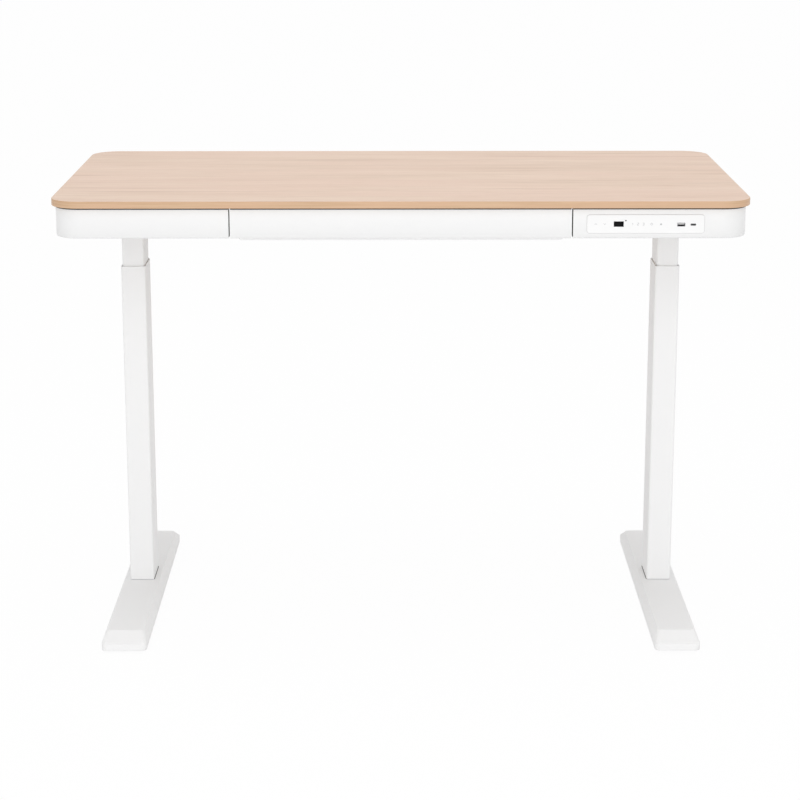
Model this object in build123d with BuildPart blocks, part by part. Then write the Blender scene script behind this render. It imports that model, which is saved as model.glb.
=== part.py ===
# Height adjustable standing desk with a drawer, a touch control panel and a geared lift in each leg.
# Millimetres, +Z up. The origin is on the floor under the middle of the desktop and the front faces -Y.
import os
from math import cos, degrees, pi, radians, sin, tan

from build123d import *

os.makedirs("parts", exist_ok=True)

# Overall sizes
desk_width = 1200.0
desk_depth = 600.0
desk_height = 811.0  # as photographed
lowest_height = 720.0
highest_height = 1210.0

# Desktop board
top_thickness = 12.0
top_corner = 50.0
edge_band_thickness = 1.0
top_edge_break = 0.6

# Apron round the frame, held a shadow gap below the board
apron_inset = 7.0
apron_gap = 1.5
apron_height = 51.5
apron_wall = 2.0
apron_top_flange = 22.0
apron_bottom_flange = 14.0
apron_bottom_round = 2.5
apron_edge_break = 0.6
apron_pad = 14.0
apron_pad_inset = 40.0
panel_joint = 0.5
corner_return = 10.0

# Feet and their levellers
pad_show = 3.0
foot_length = 614.0
foot_width = 80.0
foot_height = 29.0
foot_lip = 13.0
foot_end_slope = 28.0
foot_side_slope = 7.0
foot_corner = 10.0
foot_wall = 2.5
leveller_inset = 55.0
leveller_pad_radius = 18.0
leveller_pad_height = 8.0
leveller_stud_radius = 4.0
leveller_nut_wall = 4.0
leveller_nut_height = 13.0

# Columns
leg_inset = 107.0  # of the column's middle from the desk's end
leg_back = 25.0
outer_tube_x = 45.0
outer_tube_y = 80.0
outer_tube_top = 642.0
tube_corner = 4.0
tube_wall = 1.5
tube_play = 1.0
tube_overlap = 100.0  # left inside the outer tube at full height
foot_shadow_gap = 1.0
base_plate_thickness = 8.0
base_plate_play = 0.2
glide_play = 0.1
glide_height = 46.0
glide_edge = 12.0

# Lift drive: lead screws, nuts on push tubes, bevel gears and the shaft across
screw_radius = 8.0
screw_journal_radius = 6.0
screw_nose = 5.0
screw_end_break = 2.0
screw_end_clear = 6.0
screw_hole_play = 2.0
push_tube_radius = 14.0
push_tube_wall = 1.5
nut_flange_radius = 16.0
nut_flange_height = 8.0
nut_spigot_height = 35.0
gear_pitch_radius = 12.0
gear_teeth = 16
gear_face = 6.0
gear_addendum = 1.35
gear_dedendum = 1.8
gear_pressure_angle = 20.0
gear_backlash = 0.7  # degrees taken off each flank
gear_hub_radius = 7.0
gear_clear = 1.5
shaft_flats = 8.0
shaft_end_break = 0.6
bearing_radius = 13.0
bearing_height = 6.5
gear_case_wall = 3.0
gear_case_floor = 8.5
gear_case_lip = 1.0
gear_case_cover = 2.5
gear_case_foot = 3.0
gear_case_ear = 8.0
gear_case_play = 4.0

# Leg channel, a hat section under the board, and the column's flange below it
channel_end_gap = 38.0
channel_web = 2.5
channel_wall = 2.0
channel_flange = 18.0
channel_bend = 4.0
shaft_window_play = 3.0
flange_length = 140.0
flange_thickness = 4.5
column_bolt_x = 48.0
column_bolt_y = 116.0

# Cross beams
beam_depth = 25.0
beam_height = 37.0
beam_wall = 1.5
rear_beam_gap = 53.0
front_beam_gap = 8.0

# Drawer and its slides
drawer_end_gap = 309.5  # from the drawer front to the desk's end
drawer_seam = 3.0
drawer_front_depth = 14.0
drawer_front_wall = 2.0
drawer_front_return = 10.0
pull_lip_inset = 14.0
pull_lip_drop = 3.0
pull_lip_thickness = 5.0
tray_leg_gap = 74.0  # from the tray's back to the middle of the columns
tray_height = 39.0
tray_floor_rise = 4.5
tray_wall = 1.5
tray_corner = 8.0
slide_height = 27.0
slide_sheet = 1.2
slide_thickness = 11.2
slide_roller_gap = 2.3
slide_lip_short = 3.5  # fixed slide's lips end this far from the tray
slide_runner_short = 4.2  # moving slide's lips end this far from the bracket
slide_rise = 6.0
slide_overlap = 65.0  # left between the slides when the drawer is open
cage_length = 60.0
cage_sheet = 0.8
cage_play = 2.5
cage_web_gap = 0.6
cage_lip_short = 1.0
cage_rollers = 2
roller_length = 4.0
roller_play = 0.05
bracket_sheet = 2.0
bracket_flange = 24.0
bracket_flange_setback = 10.0

# Control panel in the right front apron
fascia_width = 200.0
fascia_height = 32.0
fascia_end_gap = 183.0  # of its middle from the desk's end
fascia_drop = 28.0  # of its middle below the board
fascia_proud = 1.2
fascia_edge_break = 0.5
fascia_corner = 5.0
fascia_plug_margin = 4.0
fascia_plug_depth = 4.0
panel_play = 0.3
display_offset = -46.0  # from the fascia's middle
display_width = 17.0
display_height = 9.4
usb_drop = 1.0
usb_a_offset = 60.5
usb_a_width = 13.2
usb_a_height = 5.9
usb_a_tongue = 1.9
usb_a_tongue_margin = 1.1
usb_c_offset = 81.0
usb_c_width = 9.2
usb_c_height = 3.4
usb_c_tongue = 0.8
usb_c_tongue_margin = 1.2
usb_shell = 0.35
usb_depth = 13.0
usb_tongue_short = 1.8
socket_back = 2.0
housing_depth = 19.0
housing_wall = 1.5
housing_post = 5.0
housing_post_inset = 8.0
board_thickness = 1.6

# Gear motor on the shaft
motor_gap = 4.0  # from the left leg channel's flange to the motor's plate
motor_case_radius = 20.0
motor_case_length = 46.0
motor_neck = 26.0
motor_neck_radius = 19.0
motor_can_radius = 18.5
motor_can_length = 95.0
motor_cap_radius = 15.5
motor_cap_length = 6.0
motor_plate = 62.0
motor_spine = 34.0
sleeve_radius = 9.0
sleeve_end = 5.0

# Control box
control_box_x = 50.0
control_box_beam_gap = 58.0
control_box_width = 230.0
control_box_depth = 84.0
control_box_height = 34.0
control_box_wall = 2.0
control_box_corner = 6.0
control_box_ear = 12.0
control_box_ribs = 9
control_box_rib_width = 3.0
control_box_rib_height = 1.2
control_box_rib_margin = 10.0

# Mains inlet in the rear apron
inlet_end_gap = 340.0
inlet_plate_width = 31.0
inlet_plate_height = 24.0
inlet_plate_thickness = 2.0
inlet_plate_corner = 3.0
inlet_body_width = 27.6
inlet_body_height = 20.4
inlet_body_depth = 22.0
inlet_wall = 1.7
inlet_cavity_depth = 16.0
inlet_pin_width = 4.0
inlet_pin_thickness = 2.0
inlet_pin_length = 14.0
inlet_pin_spacing = 14.0
inlet_pin_offset = 4.0

# Fasteners and fits
screw_play = 0.3
bolt_shank = 3.0
bolt_head = 5.2
bolt_head_height = 3.3
bolt_tail = 4.0
thread_play = 0.1
running_fit = 0.06
small_facets = 12  # of small rounds that repeat

# Levels, widths and places that follow from the sizes above
sides = (("left", -1), ("right", 1))
board_under = desk_height - top_thickness
drop_range = desk_height - lowest_height
rise_range = highest_height - desk_height
apron_top = board_under - apron_gap
apron_bottom = apron_top - apron_height
apron_middle = (apron_top + apron_bottom) / 2
apron_width = desk_width - 2 * apron_inset
apron_depth = desk_depth - 2 * apron_inset
apron_corner = top_corner - apron_inset
apron_front = -apron_depth / 2
apron_rear = apron_depth / 2
foot_bottom = pad_show
foot_top = foot_bottom + foot_height
foot_ceiling = foot_top - foot_wall
leveller_y = foot_length / 2 - leveller_inset
leg_reach = desk_width / 2 - leg_inset
tube_inside_x = outer_tube_x - 2 * tube_wall
tube_inside_y = outer_tube_y - 2 * tube_wall
inner_tube_x = tube_inside_x - 2 * tube_play
inner_tube_y = tube_inside_y - 2 * tube_play
outer_tube_bottom = foot_top + foot_shadow_gap
base_plate_top = foot_top + base_plate_thickness
inner_tube_bottom = outer_tube_top - rise_range - tube_overlap
cone_length = gear_pitch_radius * 2 ** 0.5
gear_small_end = 1 - gear_face / cone_length
gear_tip_radius = gear_pitch_radius * tan(pi / 4 + gear_addendum / cone_length)
gear_root_radius = gear_pitch_radius * tan(pi / 4 - gear_dedendum / cone_length)
gear_case_half = gear_tip_radius + 2 * gear_case_wall
gear_case_reach = gear_pitch_radius + gear_case_half - gear_case_wall
gear_case_length = gear_case_reach + gear_case_half
gear_case_top = board_under - gear_case_play - gear_case_cover
shaft_level = gear_case_top - gear_case_wall / 2 - gear_tip_radius
channel_floor = shaft_level - gear_pitch_radius - gear_clear - gear_case_floor
channel_bottom = channel_floor - channel_web
channel_inside = 2 * (gear_case_reach + gear_case_play)
channel_outside = channel_inside + 2 * channel_wall
channel_length = apron_depth - 2 * channel_end_gap
flange_bottom = channel_bottom - flange_thickness
gear_cavity_floor = channel_floor + gear_case_floor
bearing_bottom = channel_floor + gear_case_lip
bearing_top = bearing_bottom + bearing_height
gear_back = shaft_level - gear_pitch_radius
nose_top = shaft_level - gear_pitch_radius * gear_small_end
screw_bottom = base_plate_top + drop_range + screw_end_clear
nut_seat = screw_bottom + rise_range + nut_flange_height
drawer_front_width = desk_width - 2 * drawer_end_gap
seam_x = drawer_front_width / 2 + drawer_seam
tray_half = drawer_front_width / 2 - drawer_seam - slide_thickness - bracket_sheet
tray_floor = apron_bottom + tray_floor_rise
tray_front = apron_front + drawer_front_depth
tray_back = leg_back - tray_leg_gap
tray_depth = tray_back - tray_front
tray_middle = (tray_front + tray_back) / 2
bracket_inside = tray_half + slide_thickness
slide_front = tray_front + cage_play
slide_length = tray_back - slide_front
slide_middle = (slide_front + tray_back) / 2
slide_bottom = tray_floor + slide_rise
slide_level = slide_bottom + slide_height / 2
drawer_travel = tray_depth - slide_overlap
fascia_x = desk_width / 2 - fascia_end_gap
fascia_level = board_under - fascia_drop
fascia_face = apron_front - fascia_proud
plug_width = fascia_width - 2 * fascia_plug_margin
plug_height = fascia_height - 2 * fascia_plug_margin
usb_level = fascia_level - usb_drop
usb_a_x = fascia_x + usb_a_offset
usb_c_x = fascia_x + usb_c_offset
display_x = fascia_x + display_offset
socket_rear = fascia_face + usb_depth
motor_x = channel_outside / 2 + channel_flange + motor_gap + motor_plate / 2 - leg_reach
front_beam_y = tray_back + front_beam_gap + beam_depth / 2
rear_beam_y = apron_rear - rear_beam_gap
control_box_y = rear_beam_y - control_box_beam_gap - control_box_depth / 2
inlet_x = desk_width / 2 - inlet_end_gap


def at(x, y, z):
    return Plane(origin=(x, y, z))


def facing_front(x, y, z):
    return Plane(origin=(x, y, z), x_dir=(1, 0, 0), z_dir=(0, -1, 0))


def facing_right(x, y, z):
    return Plane(origin=(x, y, z), x_dir=(0, 1, 0), z_dir=(1, 0, 0))


def leg_x(side):
    return side * leg_reach


def save(piece, name):
    piece.part.label = name
    export_step(piece.part, f"parts/{name}.step")


# Desktop board and its edge band
with BuildPart() as desktop:
    with BuildSketch(Plane.XY.offset(board_under)):
        RectangleRounded(
            desk_width - 2 * edge_band_thickness,
            desk_depth - 2 * edge_band_thickness,
            top_corner - edge_band_thickness,
        )
    extrude(amount=top_thickness)
save(desktop, "desktop")

with BuildPart() as edge_band:
    with BuildSketch(Plane.XY.offset(board_under)):
        RectangleRounded(desk_width, desk_depth, top_corner)
    extrude(amount=top_thickness)
    chamfer(edge_band.edges().group_by(Axis.Z)[-1], top_edge_break)
    chamfer(edge_band.edges().group_by(Axis.Z)[0], top_edge_break)
    with BuildSketch(Plane.XY.offset(board_under)):
        RectangleRounded(
            desk_width - 2 * edge_band_thickness,
            desk_depth - 2 * edge_band_thickness,
            top_corner - edge_band_thickness,
        )
    extrude(amount=top_thickness, mode=Mode.SUBTRACT)
save(edge_band, "edge_band")

# Apron: one folded ring, cut into the panels it is put together from
with BuildPart() as apron_ring:
    with BuildSketch(Plane.XY.offset(apron_bottom)):
        RectangleRounded(apron_width, apron_depth, apron_corner)
    extrude(amount=apron_height)
    fillet(apron_ring.edges().group_by(Axis.Z)[0], apron_bottom_round)
    chamfer(apron_ring.edges().group_by(Axis.Z)[-1], apron_edge_break)
    hollows = (
        (apron_wall, apron_bottom + apron_wall, apron_height - 2 * apron_wall),
        (apron_bottom_flange, apron_bottom, apron_wall),
        (apron_top_flange, apron_top - apron_wall, apron_wall),
    )
    for inset, level, rise in hollows:
        with BuildSketch(Plane.XY.offset(level)):
            RectangleRounded(apron_width - 2 * inset, apron_depth - 2 * inset, apron_corner - inset)
        extrude(amount=rise, mode=Mode.SUBTRACT)


# Raised pads on a panel's top flange, which hold it the shadow gap below the board
def pads_at(*places):
    with BuildSketch(Plane.XY.offset(apron_top)) as pads:
        with Locations(*places):
            Rectangle(apron_pad, apron_pad)
    return pads.sketch


corner_end = apron_corner + corner_return
seam_y = apron_front + corner_end
rear_end_x = apron_width / 2 - corner_end
for side_name, side in sides:
    with BuildPart() as front_apron:
        add(apron_ring.part)
        with Locations((side * (seam_x + desk_width) / 2, (seam_y - desk_depth) / 2, apron_middle)):
            Box(desk_width - seam_x, seam_y + desk_depth, apron_height, mode=Mode.INTERSECT)
        pad_y = apron_front + apron_top_flange / 2
        pad_near = side * (seam_x + apron_pad_inset)
        pad_far = side * (apron_width / 2 - apron_corner)
        extrude(pads_at((pad_near, pad_y), (pad_far, pad_y)), amount=apron_gap)
        return_depth = apron_top_flange - apron_wall
        with BuildSketch(facing_right(side * seam_x, apron_front + apron_wall + return_depth / 2, apron_middle)):
            Rectangle(return_depth, apron_height - 2 * apron_wall)
        extrude(amount=side * apron_wall)
        if side > 0:
            with BuildSketch(facing_front(fascia_x, apron_front + apron_wall, fascia_level)):
                Rectangle(plug_width + 2 * panel_play, plug_height + 2 * panel_play)
            extrude(amount=apron_wall, mode=Mode.SUBTRACT)
    save(front_apron, f"{side_name}_front_apron")

    with BuildPart() as side_apron:
        add(apron_ring.part)
        with Locations((side * (rear_end_x + panel_joint + desk_width / 2), seam_y + panel_joint, apron_bottom)):
            Box(
                desk_width,
                desk_depth,
                apron_height,
                align=(Align.CENTER, Align.MIN, Align.MIN),
                mode=Mode.INTERSECT,
            )
        pad_x = side * (apron_width - apron_top_flange) / 2
        pad_reach = apron_depth / 2 - apron_corner - apron_pad_inset
        extrude(pads_at((pad_x, -pad_reach), (pad_x, 0), (pad_x, pad_reach)), amount=apron_gap)
    save(side_apron, f"{side_name}_side_apron")

with BuildPart() as rear_apron:
    add(apron_ring.part)
    with Locations((0, apron_rear, apron_middle)):
        Box(2 * rear_end_x, apron_depth, apron_height, mode=Mode.INTERSECT)
    pad_y = apron_rear - apron_top_flange / 2
    pad_reach = rear_end_x - apron_pad_inset
    extrude(pads_at((-pad_reach, pad_y), (0, pad_y), (pad_reach, pad_y)), amount=apron_gap)
    with BuildSketch(facing_front(inlet_x, apron_rear, fascia_level)):
        Rectangle(inlet_body_width + 2 * panel_play, inlet_body_height + 2 * panel_play)
    extrude(amount=apron_wall, mode=Mode.SUBTRACT)
save(rear_apron, "rear_apron")


# Foot outline, smaller on every side by the wall for the hollow, whose corners are cut straight
def foot_outline(plane, wall, side_slope, end_slope):
    width = foot_width - 2 * wall - 2 * side_slope
    length = foot_length - 2 * wall - 2 * end_slope
    with BuildSketch(plane) as outline:
        if wall:
            Rectangle(width, length)
            chamfer(outline.vertices(), foot_corner / 2)
        else:
            RectangleRounded(width, length, foot_corner)
    return outline.sketch


# Feet, pressed steel shells open below, and the levellers screwed into their weld nuts
for side_name, side in sides:
    x = leg_x(side)
    with BuildPart() as foot:
        for wall, mode in ((0, Mode.ADD), (foot_wall, Mode.SUBTRACT)):
            extrude(foot_outline(at(x, 0, foot_bottom), wall, 0, 0), amount=foot_lip, mode=mode)
            shoulder = foot_outline(at(x, 0, foot_bottom + foot_lip), wall, 0, 0)
            crown = foot_outline(at(x, 0, foot_top - wall), wall, foot_side_slope, foot_end_slope)
            loft([shoulder, crown], ruled=True, mode=mode)
        with BuildSketch(at(x, 0, foot_ceiling)):
            with Locations((0, -leveller_y), (0, leveller_y)):
                RegularPolygon(leveller_stud_radius + leveller_nut_wall, 6)
                Circle(leveller_stud_radius + running_fit, mode=Mode.SUBTRACT)
        extrude(amount=-leveller_nut_height)
    save(foot, f"{side_name}_foot")

    for end_name, end in (("front", -1), ("rear", 1)):
        with BuildPart() as leveller:
            with BuildSketch(at(x, end * leveller_y, 0)):
                RegularPolygon(leveller_pad_radius, small_facets)
            extrude(amount=leveller_pad_height)
            with BuildSketch(at(x, end * leveller_y, leveller_pad_height)):
                Circle(leveller_stud_radius)
            extrude(amount=foot_ceiling - thread_play - leveller_pad_height)
        save(leveller, f"{side_name}_{end_name}_leveller")

# Columns: the wide tube stands on the foot and the narrow tube slides out of it
for side_name, side in sides:
    x = leg_x(side)
    with BuildPart() as outer_tube:
        with BuildSketch(at(x, leg_back, outer_tube_bottom)):
            RectangleRounded(outer_tube_x, outer_tube_y, tube_corner)
            Rectangle(tube_inside_x, tube_inside_y, mode=Mode.SUBTRACT)
        extrude(amount=outer_tube_top - outer_tube_bottom)
    save(outer_tube, f"{side_name}_outer_tube")

    with BuildPart() as inner_tube:
        with BuildSketch(at(x, leg_back, inner_tube_bottom)):
            RectangleRounded(inner_tube_x, inner_tube_y, tube_corner)
            Rectangle(inner_tube_x - 2 * tube_wall, inner_tube_y - 2 * tube_wall, mode=Mode.SUBTRACT)
        extrude(amount=flange_bottom - inner_tube_bottom)
        with BuildSketch(at(x, leg_back, flange_bottom)):
            Rectangle(channel_inside, flange_length)
            Circle(screw_radius + screw_hole_play, mode=Mode.SUBTRACT)
            with GridLocations(column_bolt_x, column_bolt_y, 2, 2):
                RegularPolygon(bolt_shank + screw_play, small_facets, mode=Mode.SUBTRACT)
        extrude(amount=flange_thickness)
    save(inner_tube, f"{side_name}_inner_tube")

with BuildPart() as base_plates:
    for side_name, side in sides:
        with BuildSketch(at(leg_x(side), leg_back, foot_top)):
            Rectangle(tube_inside_x - 2 * base_plate_play, tube_inside_y - 2 * base_plate_play)
        extrude(amount=base_plate_thickness)
save(base_plates, "base_plates")

# Glide pads: at the top inside the outer tubes, and round the foot of the inner tubes
pad_thickness = tube_play - glide_play
glide_sets = (
    ("upper_glides", outer_tube_top - glide_height, glide_play),
    ("lower_glides", inner_tube_bottom, 0),
)
for glide_name, glide_bottom, gap in glide_sets:
    reach_x = inner_tube_x / 2 + gap + pad_thickness / 2
    reach_y = inner_tube_y / 2 + gap + pad_thickness / 2
    with BuildPart() as glides:
        for side_name, side in sides:
            with BuildSketch(at(leg_x(side), leg_back, glide_bottom)):
                with Locations((-reach_x, 0), (reach_x, 0)):
                    Rectangle(pad_thickness, inner_tube_y - 2 * glide_edge)
                with Locations((0, -reach_y), (0, reach_y)):
                    Rectangle(inner_tube_x - glide_edge, pad_thickness)
            extrude(amount=glide_height)
    save(glides, glide_name)

# Push tubes standing on the base plates, with the drive nuts on top
with BuildPart() as push_tubes:
    for side_name, side in sides:
        with BuildSketch(at(leg_x(side), leg_back, base_plate_top)):
            Circle(push_tube_radius)
            Circle(push_tube_radius - push_tube_wall, mode=Mode.SUBTRACT)
        extrude(amount=nut_seat - base_plate_top)
save(push_tubes, "push_tubes")

with BuildPart() as drive_nuts:
    nut_bore = screw_radius + screw_play
    for side_name, side in sides:
        with BuildSketch(at(leg_x(side), leg_back, nut_seat)):
            RegularPolygon(nut_flange_radius, 6)
            Circle(nut_bore, mode=Mode.SUBTRACT)
        extrude(amount=nut_flange_height)
        with BuildSketch(at(leg_x(side), leg_back, nut_seat)):
            Circle(push_tube_radius - push_tube_wall - thread_play)
            Circle(nut_bore, mode=Mode.SUBTRACT)
        extrude(amount=-nut_spigot_height)
save(drive_nuts, "drive_nuts")


# Straight bevel gear outline with flat flanks, shrunk toward the cone's apex by the given size
def gear_outline(size, turn):
    pitch = 360 / gear_teeth
    flank = tan(radians(gear_pressure_angle)) / gear_pitch_radius
    middle = pitch / 4 - gear_backlash
    tip = middle - degrees(gear_addendum * flank)
    root = middle + degrees(gear_dedendum * flank)
    steps = (
        (gear_root_radius, -root),
        (gear_tip_radius, -tip),
        (gear_tip_radius, tip),
        (gear_root_radius, root),
    )
    points = []
    for tooth in range(gear_teeth):
        for radius, angle in steps:
            way = radians(turn + tooth * pitch + angle)
            points.append((size * radius * cos(way), size * radius * sin(way)))
    return points


# A gear's toothed cone with flat flanks: back is the plane of its large end and faces away from the apex
def gear_cone(back, turn):
    front = back.offset(-gear_pitch_radius * (1 - gear_small_end))
    large_end = [back.from_local_coords(point) for point in gear_outline(1, turn)]
    small_end = [front.from_local_coords(point) for point in gear_outline(gear_small_end, turn)]
    outlines = [large_end, small_end]
    for corner in range(len(large_end)):
        outlines.append([large_end[corner - 1], large_end[corner], small_end[corner], small_end[corner - 1]])
    return Solid(Shell([Face(Wire.make_polygon(outline)) for outline in outlines]))


# Lead screws hang from their bearings and carry a bevel gear on the nose
for side_name, side in sides:
    x = leg_x(side)
    with BuildPart() as lead_screw:
        steps = (
            (screw_radius, screw_bottom, bearing_bottom - thread_play),
            (screw_journal_radius, bearing_bottom - thread_play, bearing_top + thread_play),
        )
        for radius, start, end in steps:
            with BuildSketch(at(x, leg_back, start)):
                Circle(radius)
            extrude(amount=end - start)
        with BuildSketch(at(x, leg_back, bearing_top + thread_play)):
            RegularPolygon(screw_nose, 6)
        extrude(amount=nose_top - bearing_top - thread_play)
        chamfer(lead_screw.edges().group_by(Axis.Z)[0], screw_end_break)
    save(lead_screw, f"{side_name}_lead_screw")

    with BuildPart() as screw_gear:
        back = Plane(origin=(x, leg_back, gear_back), x_dir=(1, 0, 0), z_dir=(0, 0, -1))
        add(gear_cone(back, 0))
        with BuildSketch(back):
            RegularPolygon(gear_hub_radius, 6)
        extrude(amount=gear_back - bearing_top - 2 * thread_play)
        with BuildSketch(at(x, leg_back, bearing_top)):
            RegularPolygon(screw_nose + thread_play, 6)
        extrude(amount=shaft_level - bearing_top, mode=Mode.SUBTRACT)
    save(screw_gear, f"{side_name}_screw_gear")

# Hexagonal shaft across, its bevel gears and the motor's output sleeve
shaft_end = leg_reach - gear_pitch_radius * gear_small_end
with BuildPart() as cross_shaft:
    with BuildSketch(facing_right(-shaft_end, leg_back, shaft_level)):
        RegularPolygon(shaft_flats / 2, 6, major_radius=False)
    extrude(amount=2 * shaft_end)
    chamfer(cross_shaft.faces().filter_by(Axis.X).edges(), shaft_end_break)
save(cross_shaft, "cross_shaft")

shaft_bore = shaft_flats / 2 + thread_play
with BuildPart() as shaft_gears:
    for side_name, side in sides:
        back_x = leg_x(side) - side * gear_pitch_radius
        back = Plane(origin=(back_x, leg_back, shaft_level), x_dir=(0, 0, -1), z_dir=(-side, 0, 0))
        add(gear_cone(back, 180 / gear_teeth))
        with BuildSketch(back):
            Circle(gear_hub_radius)
        extrude(amount=gear_case_half)
        with BuildSketch(back.offset(-gear_pitch_radius)):
            RegularPolygon(shaft_bore, 6, major_radius=False, rotation=30)
        extrude(amount=gear_pitch_radius + gear_case_half, mode=Mode.SUBTRACT)
save(shaft_gears, "shaft_gears")

sleeve_length = motor_case_length + 2 * sleeve_end
with BuildPart() as drive_sleeve:
    with BuildSketch(facing_right(motor_x - sleeve_length / 2, leg_back, shaft_level)):
        Circle(sleeve_radius)
        RegularPolygon(shaft_bore, 6, major_radius=False, mode=Mode.SUBTRACT)
    extrude(amount=sleeve_length)
save(drive_sleeve, "drive_sleeve")

# Leg channels with the gear cases inside, longer toward the shaft, whose gear hub runs in the inner wall
for side_name, side in sides:
    x = leg_x(side)
    case_x = x - side * (gear_case_reach - gear_case_half) / 2
    with BuildPart() as leg_channel:
        with BuildSketch(at(x, 0, channel_bottom)):
            Rectangle(channel_outside, channel_length)
        extrude(amount=board_under - channel_bottom)
        fillet(leg_channel.edges().filter_by(Axis.Y).group_by(Axis.Z)[0], channel_bend)
        with BuildSketch(at(x, 0, board_under)):
            Rectangle(channel_outside + 2 * channel_flange, channel_length)
        extrude(amount=-channel_wall)
        with BuildSketch(at(x, 0, channel_floor)):
            Rectangle(channel_inside, channel_length)
        extrude(amount=board_under - channel_floor, mode=Mode.SUBTRACT)
        with Locations((x, leg_back, channel_floor)):
            Hole(screw_radius + screw_hole_play, channel_web)
            with GridLocations(column_bolt_x, column_bolt_y, 2, 2):
                Hole(bolt_shank + screw_play, channel_web)
        with BuildSketch(facing_right(x, leg_back, shaft_level)):
            Circle(sleeve_radius + shaft_window_play)
        extrude(amount=-side * channel_outside, mode=Mode.SUBTRACT)
    save(leg_channel, f"{side_name}_leg_channel")

    with BuildPart() as gear_case:
        with BuildSketch(at(case_x, leg_back, channel_floor)):
            Rectangle(gear_case_length, 2 * gear_case_half)
        extrude(amount=gear_case_top - channel_floor)
        with BuildSketch(at(case_x, leg_back, channel_floor)):
            Rectangle(gear_case_length, 2 * gear_case_half + 2 * gear_case_ear)
        extrude(amount=gear_case_foot)
        with BuildSketch(at(case_x, leg_back, gear_cavity_floor)):
            Rectangle(gear_case_length - 2 * gear_case_wall, 2 * gear_case_half - 2 * gear_case_wall)
        extrude(amount=gear_case_top - gear_cavity_floor, mode=Mode.SUBTRACT)
        with Locations((x, leg_back, gear_cavity_floor)):
            CounterBoreHole(
                screw_radius + screw_hole_play / 2,
                bearing_radius + thread_play,
                gear_case_floor - gear_case_lip,
                gear_case_floor,
            )
        with BuildSketch(facing_right(x, leg_back, shaft_level)):
            Circle(gear_hub_radius + running_fit)
        extrude(amount=-side * gear_case_reach, mode=Mode.SUBTRACT)
    save(gear_case, f"{side_name}_gear_case")

with BuildPart() as gear_covers:
    for side_name, side in sides:
        case_x = leg_x(side) - side * (gear_case_reach - gear_case_half) / 2
        with BuildSketch(at(case_x, leg_back, gear_case_top)):
            Rectangle(gear_case_length, 2 * gear_case_half)
        extrude(amount=gear_case_cover)
save(gear_covers, "gear_covers")

with BuildPart() as screw_bearings:
    for side_name, side in sides:
        with BuildSketch(at(leg_x(side), leg_back, bearing_bottom)):
            Circle(bearing_radius)
            Circle(screw_journal_radius + running_fit, mode=Mode.SUBTRACT)
        extrude(amount=bearing_height)
save(screw_bearings, "screw_bearings")

# Gear motor: worm gear case round the shaft, hung from a plate, and the motor can behind it
motor_face = leg_back + motor_neck
with BuildPart() as motor_gear_case:
    with BuildSketch(facing_right(motor_x - motor_case_length / 2, leg_back, shaft_level)):
        Circle(motor_case_radius)
    extrude(amount=motor_case_length)
    with BuildSketch(facing_front(motor_x, motor_face, shaft_level)):
        Circle(motor_neck_radius)
    extrude(amount=motor_neck)
    with BuildSketch(at(motor_x, leg_back, shaft_level)):
        Rectangle(motor_spine, motor_spine)
    extrude(amount=board_under - shaft_level)
    with BuildSketch(at(motor_x, leg_back, board_under)):
        Rectangle(motor_plate, motor_plate)
    extrude(amount=-channel_wall)
    with BuildSketch(facing_right(motor_x - motor_case_length, leg_back, shaft_level)):
        Circle(sleeve_radius + running_fit)
    extrude(amount=2 * motor_case_length, mode=Mode.SUBTRACT)
save(motor_gear_case, "motor_gear_case")

with BuildPart() as motor_can:
    with BuildSketch(facing_front(motor_x, motor_face, shaft_level)):
        Circle(motor_can_radius)
    extrude(amount=-motor_can_length)
    with BuildSketch(facing_front(motor_x, motor_face + motor_can_length, shaft_level)):
        Circle(motor_cap_radius)
    extrude(amount=-motor_cap_length)
save(motor_can, "motor_can")

# Cross beams between the leg channels
beam_length = 2 * leg_reach - channel_outside
beam_level = board_under - channel_wall - beam_height / 2
for beam_name, beam_y in (("front", front_beam_y), ("rear", rear_beam_y)):
    with BuildPart() as cross_beam:
        with BuildSketch(facing_right(-beam_length / 2, beam_y, beam_level)):
            RectangleRounded(beam_depth, beam_height, 2 * beam_wall)
            Rectangle(beam_depth - 2 * beam_wall, beam_height - 2 * beam_wall, mode=Mode.SUBTRACT)
        extrude(amount=beam_length)
    save(cross_beam, f"{beam_name}_cross_beam")

# Drawer front: a pan with folded returns at its back and a pull lip below
with BuildPart() as drawer_front:
    with BuildSketch(facing_front(0, tray_front, apron_middle)):
        Rectangle(drawer_front_width, apron_height)
    extrude(amount=drawer_front_depth)
    face_edges = drawer_front.edges().group_by(Axis.Y)[0].filter_by(Axis.X).sort_by(Axis.Z)
    fillet(face_edges[0], apron_bottom_round)
    face_edges = drawer_front.edges().group_by(Axis.Y)[0].filter_by(Axis.X).sort_by(Axis.Z)
    chamfer(face_edges[-1], apron_edge_break)
    with BuildSketch(facing_front(0, tray_front - drawer_front_wall, apron_middle)):
        Rectangle(drawer_front_width - 2 * drawer_front_wall, apron_height - 2 * drawer_front_wall)
    extrude(amount=drawer_front_depth - 2 * drawer_front_wall, mode=Mode.SUBTRACT)
    with BuildSketch(facing_front(0, tray_front, apron_middle)):
        Rectangle(drawer_front_width - 2 * drawer_front_return, apron_height - 2 * drawer_front_return)
    extrude(amount=drawer_front_wall, mode=Mode.SUBTRACT)
    with BuildSketch(facing_front(0, apron_front + apron_bottom_round, apron_bottom)):
        with BuildLine():
            half = drawer_front_width / 2 - pull_lip_inset
            Polyline(
                (-half, drawer_front_wall / 2),
                (-half, 0),
                (pull_lip_drop - half, -pull_lip_drop),
                (half - pull_lip_drop, -pull_lip_drop),
                (half, 0),
                (half, drawer_front_wall / 2),
                close=True,
            )
        make_face()
    extrude(amount=-pull_lip_thickness)
save(drawer_front, "drawer_front")

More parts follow.
